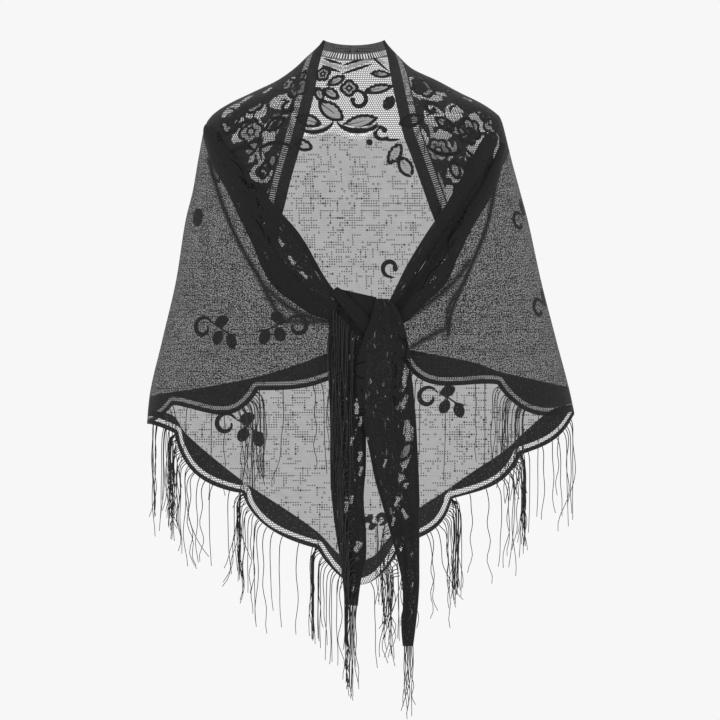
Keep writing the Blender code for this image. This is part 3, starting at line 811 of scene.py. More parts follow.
def knit_finish(name, closeness, opacity=0.985, specks=0.0):
    """Sheer black knit: a dashed plain ground, a net ground for the lace and close knit shapes."""
    finish = Finish(name)
    place = finish.node("ShaderNodeUVMap", {"uv_map": "knit_place"}, {})
    u, v = (
        finish.node("ShaderNodeSeparateXYZ", {}, {"Vector": place}, axis) * (1.0 / MM)
        for axis in ("X", "Y")
    )

    def ramp(value, low, high, start=0.0, end=1.0):
        return finish.node("ShaderNodeMapRange", {"interpolation_type": "SMOOTHSTEP"}, {
            "Value": value, "From Min": low, "From Max": high, "To Min": start, "To Max": end,
        })

    def kept(key):
        return finish.node("ShaderNodeAttribute", {"attribute_name": key}, {}, "Fac")

    def inside(key, soft=0.4):
        return ramp(kept(key), soft, -soft)

    def chance(first, second, seed):
        spot = finish.node("ShaderNodeCombineXYZ", {}, {"X": first, "Y": second, "Z": seed})
        return finish.node("ShaderNodeTexWhiteNoise", {"noise_dimensions": "3D"}, {"Vector": spot})

    def cloudy(scale, detail=1.0):
        return finish.node("ShaderNodeTexNoise", {}, {
            "Vector": place, "Scale": scale, "Detail": detail,
        })

    def wave(length, pitch):
        return (length * (2 * math.pi / pitch)).by("SINE")

    def dashes(along, row, period, gain, seed, share):
        """Which dots of a row are closed: one dash of uneven length in every period."""
        moved = along + period * chance(0.0, row, seed)
        block = (moved / period).by("FLOOR")
        length = SHORTEST_DASH + gain * chance(block, row, seed + 1.0)
        there = chance(block, row, seed + 2.0) < share
        return (moved - block * period < length) * there

    # Dots closed by thread, in level and upright dashes, with small rings and a few level rules.
    i = (u / DOT_PITCH).by("FLOOR")
    j = (v / DOT_PITCH).by("FLOOR")
    du = u / DOT_PITCH - i - 0.5
    dv = v / DOT_PITCH - j - 0.5
    away = (du * du + dv * dv).by("SQRT")
    dashed = dashes(i, j, **LEVEL_DASHES).by("MAXIMUM", dashes(j, i, **UPRIGHT_DASHES))
    dots = ramp(away, *DOT_EDGE) * dashed
    rings = ramp((away - RING_RADIUS).by("ABSOLUTE"), *RING_EDGE)
    rings = rings * (chance(i, j, RING_SEED) > RINGLESS_SHARE)
    rule = chance(0.0, j, RULE_SEED) > RULELESS_SHARE
    rule = rule * ramp(dv.by("ABSOLUTE"), *RULE_EDGE)
    rib = wave(v, RIB_PITCH)
    plain = closeness + RIB_COVER * rib + CLOUD_COVER * (cloudy(60.0, 2.0) - 0.5)
    plain = plain + RULE_COVER * rule + (DOT_COVER - closeness) * dots.by("MAXIMUM", rings)
    plain = plain + kept("grain") * (ramp(cloudy(600.0), *GRAIN_EDGE) - 0.5)

    # The net: small round holes in staggered rows.
    line = (v / HOLE_HIGH).by("FLOOR")
    nu = u / HOLE_WIDE + line * 0.5
    nu = nu - nu.by("FLOOR") - 0.5
    nv = v / HOLE_HIGH - line - 0.5
    from_hole = (nu * nu * 1.1 + nv * nv).by("SQRT")
    netting = ramp(from_hole, *NET_EDGE, *NET_COVERS)

    # One ground over another, then close shapes, pin holes, slits and openings.
    netted = inside("net", 0.8)
    ground = plain * (1.0 - netted) + netting * netted
    half = inside("half")
    ground = ground * (1.0 - half) + half * (HALF_COVER + HALF_RIB_COVER * rib)
    ground = ground + (1.0 - ground) * kept("thick")
    solid = inside("solid")
    close = opacity - THIN_SPOTS * (cloudy(520.0) > THIN_SPOT_LEVEL)
    if specks:
        streaks = finish.node("ShaderNodeCombineXYZ", {}, {
            "X": u * STREAK_ACROSS, "Y": v * STREAK_DOWN,
        })
        patches = finish.node("ShaderNodeTexNoise", {}, {
            "Vector": streaks, "Scale": 1.0, "Detail": 3.0, "Roughness": 0.6,
        })
        close = close - specks * ramp(patches, *STREAK_EDGE) * (1.0 - netting)
    cover = ground * (1.0 - solid) + solid * close
    pin_holes = inside("pierced") * ramp(from_hole, *PIN_EDGE)
    run = kept("run") / SLIT_PITCH
    from_slit = (run - run.by("FLOOR") - 0.5).by("ABSOLUTE")
    slits = SLIT_OPENNESS * inside("ladder") * ramp(from_slit, *SLIT_EDGE)
    cover = cover * (1.0 - PIN_OPENNESS * pin_holes) * (1.0 - inside("open").by("MAXIMUM", slits))

    # A colour mix has its factor at socket 0, its colours at 6 and 7, and its result at 2. It paints
    # shade into the pin holes, where the cloth behind them lies in shadow.
    colour = finish.node("ShaderNodeMix", {"data_type": "RGBA"}, {
        0: pin_holes, 6: KNIT_BLACK, 7: PIN_HOLE_SHADE,
    }, 2)
    stitches = rib * 0.5 + wave(u, STITCH_PITCH) * 0.5
    bump = finish.node("ShaderNodeBump", {}, {
        "Height": stitches + solid - pin_holes * 2.0, "Strength": 0.35, "Distance": 0.4 * MM,
    })
    return finish.done(
        Base_Color=colour, Roughness=0.85, Alpha=cover, Normal=bump, Sheen_Weight=0.04,
        Sheen_Roughness=0.4, Specular_IOR_Level=0.16,
    )


def back_fold(angle, height):
    """Depth of the soft folds that deepen down the back."""
    drop = np.clip(-height / BACK_FOLD_REACH, 0.0, 1.2)
    return BACK_FOLD_DEPTH * drop * np.cos(BACK_FOLD_WAVES * angle) * np.cos(angle) ** 2


hem_back = hem_line(HEM_BACK)
hem_angle, hem_height = place_on_body(*hem_back.T, False)
hem_angle[0], hem_angle[-1] = -math.pi / 2, math.pi / 2
hem_back_places = np.stack([hem_angle, hem_height], axis=1)
back_angle = np.linspace(-math.pi / 2, math.pi / 2, BACK_COLUMNS)[None, :]
back_low = np.interp(back_angle, hem_angle, hem_height)
back_top = NECK_TOP_HEIGHT - NECK_BACK_DIP * np.cos(back_angle) ** 2
upper = np.linspace(0.0, 1.0, BACK_SHOULDER_ROWS)[:-1, None]
lower = np.linspace(0.0, 1.0, BACK_FIELD_ROWS)[:, None]
back_height = np.vstack([
    back_top + (BACK_SHOULDER_HEIGHT - back_top) * upper,
    BACK_SHOULDER_HEIGHT + (back_low - BACK_SHOULDER_HEIGHT) * lower,
])
back_angle = np.repeat(back_angle, len(back_height), axis=0)
back_points = lifted(back_angle, back_height, back_fold(back_angle, back_height))
back_outward = body_outward(back_angle, back_height)


def level_places(points):
    """Places for a knit whose rows lie level: the way round the body, and the height."""
    steps = np.linalg.norm(np.diff(points[..., :2], axis=1), axis=2)
    around = np.concatenate([np.zeros((len(points), 1)), np.cumsum(steps, axis=1)], axis=1)
    around = around - around[:, points.shape[1] // 2][:, None]
    return np.stack([around, points[..., 2]], axis=-1)


def shoulder_height(points, rows):
    """The way up over the shoulders, counted from the level row below them."""
    down = np.linalg.norm(np.diff(points[:rows + 1], axis=0), axis=2)
    return points[rows, :, 2] + np.cumsum(down[::-1], axis=0)[::-1]


# Angles are in radians from the middle of the back: as far as the knit is smooth, where its rows
# start to follow the shoulder, and how fast the painted shade darkens the cloth towards the sides.
SMOOTH_ANGLE = 0.75
SHOULDER_ANGLE = 0.5
SIDE_TURN = 0.16
SIDE_DARKNESS = 0.55
BACK_GRAIN = 0.7
# Distance to a slanting edge, as a share of the height above it.
BORDER_SLOPE = 0.9
BAND_SLOPE = 0.8
BACK_NECK_BAND_WIDTH = 14.0
BACK_NECK_BAND_THICKNESS = 0.82
LADDER_WIDTH = 8.0
BAND_MARGIN = 2.0
HEM_EDGE_WIDTH = 6.2
HEM_STRIPE_WIDTH = 4.9
STRIPE_MARGIN = 1.0


def neck_band(knit, width):
    """Lays a row of slits beside the close band along the long edge, and gives the band's gap."""
    away, knit.run = nearest(knit.points, neck_edge)
    knit.ladder = np.abs(away - width - LADDER_WIDTH / 2) - LADDER_WIDTH / 2
    return away - width - LADDER_WIDTH - BAND_MARGIN


def hem_band(knit, hem_points, band_top):
    """The close band above a scalloped hem, with a thin light stripe that follows the scallops."""
    away = nearest(knit.points, hem_points)[0]
    top = np.interp(knit.points[:, 0], band_top[:, 0], band_top[:, 1])
    below = (knit.points[:, 2] - top) * BAND_SLOPE
    light = np.abs(away - HEM_EDGE_WIDTH - HEM_STRIPE_WIDTH / 2) - HEM_STRIPE_WIDTH / 2
    knit.add("solid", np.maximum(below, -light))
    knit.add("net", light - STRIPE_MARGIN)
    knit.add("solid", away - HEM_EDGE_WIDTH)


back_knit = Knit(back_points, back_outward)
side_angle = np.abs(back_angle.ravel())
back_knit.grain = BACK_GRAIN * np.clip(side_angle / SMOOTH_ANGLE - 1.0, 0.0, 1.0)
border_edge = smooth_line(BORDER_EDGE_BACK)
border_top = np.interp(back_knit.points[:, 0], border_edge[:, 0], border_edge[:, 1])
back_knit.add("net", (border_top - back_knit.points[:, 2]) * BORDER_SLOPE)
# Painted shade: the knit is made denser towards the sides, where the cloth turns away into shade.
back_knit.thicken_and_shade(SIDE_DARKNESS * np.exp(-(math.pi / 2 - side_angle) / SIDE_TURN))
band_gap = neck_band(back_knit, BACK_NECK_BAND_WIDTH)
back_knit.thicken_and_shade(np.where(band_gap < 0.0, BACK_NECK_BAND_THICKNESS, 0.0))
back_knit.clear("net", band_gap)
draw(back_knit, BACK_MOTIFS, False)
draw(back_knit, SHOULDER_MOTIFS, False)
draw(back_knit, [
    (kind, [(-across, height, 180 - turn, size, second) for across, height, turn, size, second in rows])
    for kind, rows in SHOULDER_MOTIFS
], False)
hem_band(back_knit, body_point(*hem_back_places.T), smooth_line(BAND_TOP_BACK))

back_flat = level_places(back_points)
over_shoulder = shoulder_height(back_points, BACK_SHOULDER_ROWS)
side_share = (np.abs(back_angle[:BACK_SHOULDER_ROWS]) - SHOULDER_ANGLE) / SHOULDER_ANGLE
upper_flat = back_flat[:BACK_SHOULDER_ROWS, :, 1]
upper_flat += np.clip(side_share, 0.0, 1.0) * (over_shoulder - upper_flat)

sheer_knit = knit_finish("sheer_knit", 0.56)
back = cloth_skin("lace_back", back_points, back_knit, back_flat, "back_panel", sheer_knit)

# The lace over the shoulders. It goes on from the back as the same cloth: its close band frames
# the neck, and its flowers run down on both sides until the cloth rolls over on itself.
ROLL_LINE_LEFT = [
    (-213, -45), (-202, -56), (-183, -89), (-158, -136), (-128, -180), (-98, -227),
    (-63, -262), (-30, -284),
]
ROLL_LINE_RIGHT = [
    (198, -45), (188, -59), (162, -111), (138, -147), (117, -179), (98, -206), (82, -232),
    (63, -259), (45, -281), (37, -291),
]
YOKE_ROWS = 150
YOKE_COLUMNS = 120
YOKE_NECK_BAND_WIDTH = 16.0
YOKE_LEFT_MOTIFS = [
    ("window", [
        (-176, -15, 25, 31, 23), (-141, -18, 10, 30, 26), (-108, -4, 0, 32, 29),
        (-115, -23, 5, 25, 9), (-154, -45, 22, 52, 23), (-143, -64, 40, 38, 25),
        (-126, -57, 80, 36, 21), (-135, -78, -80, 22, 10), (-150, -82, 20, 18, 12),
        (-134, -101, 0, 34, 29), (-96, 22, 75, 31, 15), (-119, -86, 70, 29, 14),
        (-156, 0, 30, 22, 10), (-119, -30, 40, 34, 7), (-164, -30, 10, 16, 7),
        (-183, -38, -50, 20, 8), (-126, 12, 30, 20, 8),
    ]),
    ("pale stroke", [(-86, 11, -75, 44, -4), (-100, -30, 55, 44, 5), (-116, -109, 62, 44, -4)]),
    ("stroke", [(-104, -5, -40, 14, 4), (-150, -38, 22, 30, 4)]),
    ("leaf", [(-147, -67, 48, 34, 14), (-115, -23, 5, 22, 8), (-119, -86, 70, 24, 11)]),
    ("scroll", [(-134, -101, 30, 8, 1)]),
    ("stroke", [(-139, -18, 60, 24, 4), (-175, -15, -50, 20, 3)]),
    ("scroll", [(-156, -82, 100, 7, 1)]),
    ("stroke", [(-132, -68, 85, 34, 3)]),
]
YOKE_RIGHT_MOTIFS = [
    ("window", [
        (67, 22, 70, 34, 10), (74, 7, -35, 27, 10), (98, 4, 30, 29, 23), (112, 7, 40, 16, 10),
        (100, -23, -70, 34, 30), (127, -19, 70, 34, 24), (146, 0, 0, 16, 9),
        (162, -31, 18, 47, 30), (132, -44, 0, 34, 16), (112, -49, 20, 27, 16),
        (106, -71, 0, 43, 32), (164, -61, 35, 29, 23), (150, -71, 60, 20, 14),
        (128, -104, 50, 29, 23), (119, -131, 80, 29, 13), (188, -55, -50, 22, 10),
        (120, 11, -30, 18, 7), (87, -52, -70, 25, 9), (177, -44, -20, 22, 12),
        (136, -82, 10, 20, 10),
    ]),
    ("pale stroke", [
        (94, -44, -80, 30, 3), (109, -123, -82, 44, 3), (87, 22, -60, 30, 3),
        (123, -68, 60, 24, -6),
    ]),
    ("flower", [(106, -71, 0, 17, 6)]),
    ("scroll", [(169, -26, 30, 8, 1)]),
    ("leaf", [(132, -44, 0, 28, 13)]),
    ("stroke", [(101, 3, 30, 22, 6)]),
    ("dot", [(120, -113, 0, 5.4, 1)]),
    ("stroke", [(158, -55, 40, 44, 3), (127, -14, 60, 18, 4)]),
    ("scroll", [(136, -82, 60, 7, 1)]),
    ("stroke", [(100, -22, 20, 22, 3), (147, -30, -50, 30, 4)]),
]
WINDOW_REACH = 1.2
WINDOW_TAPER = 0.5
WINDOW_RIPPLE = 1.3


def window(knit, spot, turn, length, width):
    """An opening of bare net in close lace, wider at one end like a petal."""
    near, a, b = knit.seen_flat(spot, length * WINDOW_REACH, turn)
    taper = 1.0 + WINDOW_TAPER * a / length
    shape = (np.hypot(a / length * 2, b / width * 2 / taper) - 1.0) * width / 2
    shape = shape + WINDOW_RIPPLE * np.sin(a * 0.55 + b * 0.4) * np.sin(b * 0.6 - a * 0.2)
    knit.clear("solid", shape, near)
    knit.add("net", shape - OUTLINE, near)


MOTIF_SHAPES["window"] = window


def cloth_patch(top, bottom, start, end, rows, columns):
    """Angles and heights that fill the area between four lines of places on the body."""
    upper, lower = spaced(top, columns)[None], spaced(bottom, columns)[None]
    first, last = spaced(start, rows)[:, None], spaced(end, rows)[:, None]
    r = np.linspace(0.0, 1.0, rows)[:, None, None]
    c = np.linspace(0.0, 1.0, columns)[None, :, None]
    corners = (
        (1 - c) * (1 - r) * upper[:, :1] + c * (1 - r) * upper[:, -1:]
        + (1 - c) * r * lower[:, :1] + c * r * lower[:, -1:]
    )
    patch = (1 - r) * upper + r * lower + (1 - c) * first + c * last - corners
    return patch[..., 0], patch[..., 1]


def front_places(points):
    """Places on the body of points seen from the front."""
    return np.stack(place_on_body(*np.array(points, float).T, True), axis=1)


SIDE_STEPS = 40


def side_line(sign, top_height, low_height):
    """Places down one side of the body."""
    height = np.linspace(top_height, low_height, SIDE_STEPS)
    return np.stack([np.full(SIDE_STEPS, sign * math.pi / 2), height], axis=1)


def yoke(name, sign, neck_line, roll_line, motifs, replaced):
    """The lace from the neck to the line where it rolls over, on the side that sign gives."""
    neck_low = neck_line[-1]
    roll = smooth_line(roll_line)
    roll = np.vstack([roll[roll[:, 1] >= neck_low[1]], [neck_low]])
    roll_places = front_places(roll)
    roll_places[0] = (sign * math.pi / 2, roll_line[0][1])
    edge = front_places(smooth_line(neck_line))
    side = side_line(sign, NECK_TOP_HEIGHT, roll_line[0][1])
    top = np.vstack([side[:1], edge[:1]])
    angle, height = cloth_patch(top, roll_places, side, edge, YOKE_ROWS, YOKE_COLUMNS)
    points = body_point(angle, height)
    knit = Knit(points, body_outward(angle, height))
    knit.solid[:] = -FAR
    draw(knit, motifs, True)
    knit.add("solid", neck_band(knit, YOKE_NECK_BAND_WIDTH))
    item = cloth_skin(name, points, knit, level_places(points), replaced, sheer_knit)


yoke("lace_yoke_left", -1, NECK_EDGE_LEFT, ROLL_LINE_LEFT, YOKE_LEFT_MOTIFS, "yoke_left")
yoke("lace_yoke_right", 1, NECK_EDGE_RIGHT, ROLL_LINE_RIGHT, YOKE_RIGHT_MOTIFS, "yoke_right")

# The two fronts. Plain sheer knit falls from the rolled border to a scalloped hem, with a long
# crease from the shoulder and short pleats that are drawn into the knot.
FRONT_ROWS = 170
FRONT_COLUMNS = 170
# Lines seen from the front: the end at the knot, the long crease, the short folds, which are only
# painted in as shade, and the top of the close band. Columns: across, height.
INNER_END_LEFT = [
    (-30, -284), (-26, -314), (-26, -349), (-27, -375),
]
INNER_END_RIGHT = [
    (37, -291), (41, -307), (46, -325), (51, -339),
]
CREASE_LEFT = [
    (-207, -82), (-202, -98), (-188, -143), (-164, -198), (-134, -250), (-109, -298),
]
CREASE_RIGHT = [
    (192, -68), (187, -102), (177, -157), (164, -198), (146, -239), (126, -287), (119, -321),
]
FOLDS_LEFT = [
    [(-128, -257), (-96, -284), (-61, -299), (-27, -304)],
    [(-108, -302), (-82, -303), (-27, -303)],
    [(-134, -250), (-119, -278), (-109, -299)],
]
FOLDS_RIGHT = [
    [(141, -251), (123, -280), (119, -308)],
    [(150, -220), (130, -246), (105, -269), (63, -299)],
    [(119, -311), (93, -324), (70, -337)],
]
BAND_TOP_LEFT = [
    (-289, -422), (-284, -404), (-218, -393), (-141, -378), (-82, -360), (-40, -344),
    (-20, -339),
]
BAND_TOP_RIGHT = [
    (55, -339), (82, -344), (154, -358), (191, -371), (276, -390), (295, -393),
]
# Scallops, with the same columns as the back's.
HEM_FRONT_LEFT = [
    (-289, -442, -254, -416, 3, 1),
    (-254, -416, -138, -396, 25, 1.45),
    (-138, -396, -27, -375, 8, 1.2),
]
HEM_FRONT_RIGHT = [
    (294, -423, 186, -388, 23, 1),
    (186, -388, 51, -339, 30, 1.5),
]
LEFT_MOTIFS = [
    ("leaf", [(-197, -98, -70, 34, 16)]),
    ("full leaf", [(-221, -161, -70, 28, 23)]),
    ("window", [(-202, -55, -60, 40, 12)]),
    ("stroke", [(-202, -55, -60, 30, 3)]),
    ("sprig", [(-192, -315, -6, 46, 1), (-108, -311, 180, 46, -1)]),
]
RIGHT_MOTIFS = [
    ("scroll", [(216, -167, 60, 15, 1)]),
    ("full leaf", [(221, -147, -60, 26, 22)]),
    ("scroll", [(243, -285, 60, 15, 1)]),
    ("full leaf", [(250, -270, -60, 26, 22)]),
    ("window", [(186, -71, 70, 34, 9)]),
]
PLEAT_DEPTH = 2.6
PLEAT_WAVES = 3.5
PLEAT_START = 0.4
CREASE_DEPTH = 4.5
CREASE_SOFTNESS = 22.0
# Widths and strengths of the painted shade along the crease and the short folds.
CREASE_WIDTH = 4.6
CREASE_DARKNESS = 0.97
FOLD_WIDTH = 6.0
FOLD_DARKNESS = 0.92
SIDE_FADE = 6.0
# How far the painted shade at the side reaches.
SIDE_WIDTH = 24.0
FRONT_GRAIN = 1.0
FRONT_THICKNESS = 0.27
TUCK_LEFT = 6.0
TUCK_RIGHT = 20.0


def front_hem_places(sign, hem):
    """Places of a front's hem, from the side of the body inwards."""
    places = front_places(hem_line(hem))
    places[0, 0] = sign * math.pi / 2
    return places


def shade(points, line, width):
    """How much a soft line does at each point: all of it on the line, and none far away."""
    return np.exp(-(nearest(points, line)[0] / width) ** 2)


def front(name, sign, roll_line, hem, inner_end, crease, folds, band_top, motifs, tuck, replaced):
    """A front from the rolled border to its hem, on the side that sign gives."""
    top = smooth_line(roll_line)
    top_places = front_places(top)
    top_places[0, 0] = sign * math.pi / 2
    hem_places = front_hem_places(sign, hem)
    inner = np.array(inner_end, float)
    inner[0] = top[-1]
    end = front_places(smooth_line(inner))
    end[0], end[-1] = top_places[-1], hem_places[-1]
    side = side_line(sign, top_places[0, 1], hem_places[0, 1])
    angle, height = cloth_patch(top_places, hem_places, side, end, FRONT_ROWS, FRONT_COLUMNS)
    seen = body_point(angle, height).reshape(-1, 3)[:, [0, 2]]
    down = np.linspace(0.0, 1.0, FRONT_ROWS)[:, None]
    inward = np.linspace(0.0, 1.0, FRONT_COLUMNS)[None, :]
    share = np.clip((inward - PLEAT_START) / (1.0 - PLEAT_START), 0.0, 1.0)
    pleats = PLEAT_DEPTH * np.sin(math.pi * share) * np.sin(2 * math.pi * PLEAT_WAVES * down)
    crease_line = smooth_line(crease)
    trough = CREASE_DEPTH * shade(seen, crease_line, CREASE_SOFTNESS).reshape(angle.shape)
    lift = (pleats - trough) * np.sin(math.pi * down) * np.minimum(1.0, SIDE_FADE * inward)
    points = lifted(angle, height, lift)
    knit = Knit(points, body_outward(angle, height))
    knit.grain[:] = FRONT_GRAIN
    knit.add("solid", nearest(seen, top)[0] - tuck)
    # Painted shade: the knit is made denser, so darker, along the crease, the short folds and the side,
    # where shade falls in the cloth.
    knit.thicken_and_shade(CREASE_DARKNESS * shade(seen, crease_line, CREASE_WIDTH))
    for fold in folds:
        knit.thicken_and_shade(FOLD_DARKNESS * shade(seen, smooth_line(fold), FOLD_WIDTH))
    from_side = np.linalg.norm(points - points[:, :1], axis=2).ravel()
    knit.thicken_and_shade(SIDE_DARKNESS * np.exp(-from_side / SIDE_WIDTH))
    knit.thicken_and_shade(FRONT_THICKNESS)
    draw(knit, motifs, True)
    hem_band(knit, body_point(*hem_places.T), smooth_line(band_top))
    item = cloth_skin(name, points, knit, level_places(points), replaced, sheer_knit)


front("lace_front_left", -1, ROLL_LINE_LEFT, HEM_FRONT_LEFT, INNER_END_LEFT, CREASE_LEFT,
      FOLDS_LEFT, BAND_TOP_LEFT, LEFT_MOTIFS, TUCK_LEFT, "front_left")
front("lace_front_right", 1, ROLL_LINE_RIGHT, HEM_FRONT_RIGHT, INNER_END_RIGHT, CREASE_RIGHT,
      FOLDS_RIGHT, BAND_TOP_RIGHT, RIGHT_MOTIFS, TUCK_RIGHT, "front_right")

# The rolled border, the knot and its two tails. The long edge is rolled over on itself in folds,
# passed through a strap of itself and left to hang in two pleated ends.
PIN_ROW_WIDTH = 1.7
PIERCED_STROKE_WEIGHT = 1.2
ROSETTE_REACH = 2.6
ROSETTE_RINGS = (0.24, 0.52, 1.0)
# Rows down the bands. Columns: across and height of one edge, across and height of the other
# edge, lift, fullness.
ROLL_LEFT = [
    (-206, -35, -209, -61, 1.6, 0.45),
    (-188, -55, -199, -90, 1.6, 0.6),
    (-164, -87, -179, -126, 1, 0.8),
    (-134, -124, -161, -164, 1, 1),
    (-104, -158, -143, -202, 1, 1),
    (-85, -180, -131, -232, 1, 1),
    (-71, -201, -113, -259, 1, 1),
    (-60, -221, -90, -277, 1, 0.95),
    (-48, -242, -66, -293, 2, 0.85),
    (-35, -261, -41, -300, 3.4, 0.6),
    (-30, -270, -30, -298, 3.6, 0.5),
]
ROLL_RIGHT_INNER = [
    (175, -45, 187, -55, 1, 0.42),
    (164, -57, 179, -71, 1, 0.5),
    (146, -89, 164, -105, 1, 0.7),
    (128, -123, 145, -136, 1, 0.85),
    (112, -150, 124, -167, 1, 1),
    (89, -184, 106, -195, 1, 1),
    (64, -225, 83, -229, 1, 1),
    (49, -255, 67, -257, 2.5, 0.8),
    (40, -273, 53, -278, 3.4, 0.65),
    (33, -283, 45, -288, 3.6, 0.5),
]
ROLL_RIGHT_OUTER = [
    (190, -60, 197, -71, 1, 0.4),
    (177, -89, 188, -106, 1, 0.5),
    (164, -117, 176, -135, 1, 0.6),
    (147, -143, 162, -158, 1, 0.72),
    (128, -172, 147, -184, 1, 0.8),
    (111, -201, 131, -218, 1, 0.85),
    (89, -235, 116, -251, 1.5, 0.85),
    (72, -261, 90, -276, 3, 0.7),
    (57, -283, 68, -298, 3.6, 0.55),
    (46, -293, 56, -307, 3.6, 0.4),
]
KNOT_STRAP = [
    (-40, -263, -30, -256, 10.8, 0.7),
    (-31, -274, -20, -263, 10.9, 0.8),
    (-20, -288, -8, -276, 10.8, 0.8),
    (-7, -304, 5, -289, 10, 0.8),
    (5, -319, 16, -301, 9.4, 0.75),
    (12, -328, 24, -310, 9, 0.6),
]
KNOT_BRIDGE = [
    (-27, -259, 22, -270, 3.6, 0.8),
    (-20, -269, 23, -277, 3.7, 0.8),
    (-14, -278, 25, -287, 4, 0.8),
    (-4, -291, 26, -298, 3.7, 0.75),
    (5, -304, 27, -308, 3.6, 0.7),
]
TAIL_LEFT = [
    (-34, -271, -12, -280, 1, 0.45),
    (-38, -291, 3, -295, 1, 0.45),
    (-42, -302, 5, -306, 1.1, 0.45),
    (-42, -311, 7, -314, 1.3, 0.5),
    (-43, -326, 8, -328, 2.5, 0.7),
    (-43, -347, 8, -347, 2.5, 0.85),
    (-42, -371, 7, -371, 2.5, 0.95),
    (-41, -410, 7, -410, 3, 0.95),
    (-40, -450, 8, -453, 4, 1),
    (-40, -494, 8, -498, 5, 1),
    (-38, -539, 5, -542, 6, 1),
    (-33, -584, 8, -584, 7, 0.95),
    (-27, -622, 8, -622, 8, 0.85),
    (-23, -655, 1, -655, 8.5, 0.7),
    (-20, -685, -3, -687, 9, 0.6),
]
TAIL_RIGHT = [
    (20, -272, 38, -272, 10, 0.7),
    (18, -285, 48, -284, 12, 0.9),
    (13, -303, 57, -303, 12.9, 1),
    (5, -324, 62, -324, 13.4, 1),
    (-2, -349, 66, -347, 14.4, 1),
    (-5, -375, 68, -373, 15.2, 1),
    (-3, -407, 71, -401, 15.8, 1),
    (4, -440, 74, -435, 16.4, 1),
    (12, -475, 76, -472, 15.8, 1),
    (20, -516, 78, -512, 15, 1),
    (30, -551, 79, -549, 14, 1),
    (40, -587, 79, -584, 13, 0.95),
    (49, -621, 79, -622, 12, 0.9),
    (56, -655, 79, -658, 12, 0.8),
    (57, -688, 77, -689, 12, 0.7),
    (55, -715, 74, -717, 12, 0.6),
    (57, -741, 71, -741, 12, 0.5),
]
ROLL_LEFT_MOTIFS = [
    ("window", [
        (-150, -117, -50, 26, 6), (-134, -143, -60, 22, 4), (-104, -197, -50, 14, 5),
        (-90, -221, -50, 20, 5), (-74, -240, -40, 16, 4), (-128, -167, -60, 16, 4),
        (-139, -123, -50, 14, 4), (-120, -194, -70, 12, 4), (-188, -55, -60, 20, 4),
    ]),
    ("pierced stroke", [
        (-164, -96, -50, 40, 4), (-134, -177, -60, 40, 4), (-96, -232, -50, 50, 5),
    ]),
]
ROLL_RIGHT_MOTIFS = [
    ("window", [(134, -167, 60, 24, 4), (109, -221, 50, 20, 5), (96, -246, 50, 16, 4)]),
    ("pale stroke", [(120, -205, 55, 34, 3)]),
    ("window", [(150, -131, 60, 22, 4)]),
    ("pierced stroke", [(126, -186, 55, 46, 4), (96, -240, 50, 40, 4)]),
    ("window", [(79, -259, 45, 16, 4)]),
]
TAIL_LEFT_MOTIFS = [
    ("window", [
        (-4, -420, 85, 23, 6), (-11, -464, 80, 16, 4), (0, -485, 80, 18, 5),
        (-18, -553, 85, 22, 5), (-3, -607, 60, 20, 8), (-11, -543, 85, 13, 4),
        (1, -437, 85, 16, 4), (1, -505, 80, 16, 4),
    ]),
    ("pierced stroke", [(-20, -519, 88, 50, 3), (-8, -471, 80, 50, 4)]),
]
TAIL_RIGHT_MOTIFS = [
    ("window", [
        (60, -375, 80, 41, 8), (57, -412, 70, 23, 8), (64, -450, -80, 31, 14),
        (60, -485, 80, 36, 13), (57, -519, -70, 23, 11), (52, -416, 40, 14, 7),
        (49, -546, 70, 20, 5), (59, -562, -60, 22, 5), (55, -607, 80, 13, 4),
        (3, -426, 80, 22, 6), (8, -464, 70, 14, 4), (33, -494, 80, 13, 3), (44, -573, 80, 18, 3),
    ]),
    ("leaf", [(60, -478, 60, 30, 13)]),
    ("scroll", [(61, -526, 80, 9, 1)]),
    ("stroke", [(57, -444, 70, 26, 4), (59, -403, 60, 20, 3)]),
    ("pierced stroke", [
        (34, -315, 70, 26, 3), (42, -315, 100, 24, 3), (22, -325, 45, 26, 4),
        (52, -328, -60, 28, 3), (29, -407, 60, 24, 3), (42, -407, 110, 24, -3),
        (19, -396, 45, 26, 4), (35, -437, 20, 30, 5), (27, -478, 80, 50, 4),
        (41, -532, 85, 50, 4),
    ]),
    ("rosette", [(35.5, -368, 0, 25, 6)]),
]
# Cross-sections. Columns: share of the width, rise over the lift.
ROLL_SECTION = [
    (0.12, 0.4), (0.0, 2.4), (0.03, 8.0), (0.16, 12.0),
    (0.4, 13.0), (0.66, 10.0), (0.88, 6.0), (1.0, 2.4), (0.88, 0.4),
]
STRAP_SECTION = [
    (0.16, 0.0), (0.0, 2.0), (0.12, 4.6), (0.34, 4.0), (0.56, 5.4), (0.74, 4.2), (0.9, 4.6),
    (1.0, 2.0), (0.84, 0.0),
]
BRIDGE_SECTION = [
    (0.0, 3.0), (0.1, 6.0), (0.35, 8.0), (0.6, 6.4), (0.85, 8.0), (1.0, 5.0),
]
TAIL_SECTION = [
    (0.1, 0.0), (0.0, 2.6), (0.05, 6.0), (0.2, 8.0), (0.36, 5.4),
    (0.52, 8.2), (0.68, 5.8), (0.84, 8.0), (0.95, 6.0), (1.0, 2.6), (0.9, 0.0),
]


def pierced_stroke(knit, spot, turn, length, rise):
    """A bowed row of pin holes."""
    near, gap = bowed_line(knit, spot, turn, length, rise, PIERCED_STROKE_WEIGHT)
    knit.add("pierced", gap, near)


def rosette(knit, spot, turn, radius, petals):
    """Rings of pin holes round one another, in a wreath of petals."""
    near, a, b = knit.seen_flat(spot, radius * ROSETTE_REACH, turn)
    out = np.hypot(a, b)
    for share in ROSETTE_RINGS:
        knit.add("pierced", np.abs(out - share * radius) - PIN_ROW_WIDTH, near)
    edge = radius * (1.5 + 0.4 * np.cos(petals * np.arctan2(b, a)))
    knit.add("pierced", np.abs(out - edge) * 0.8 - PIN_ROW_WIDTH, near)


MOTIF_SHAPES["pierced stroke"] = pierced_stroke
MOTIF_SHAPES["rosette"] = rosette


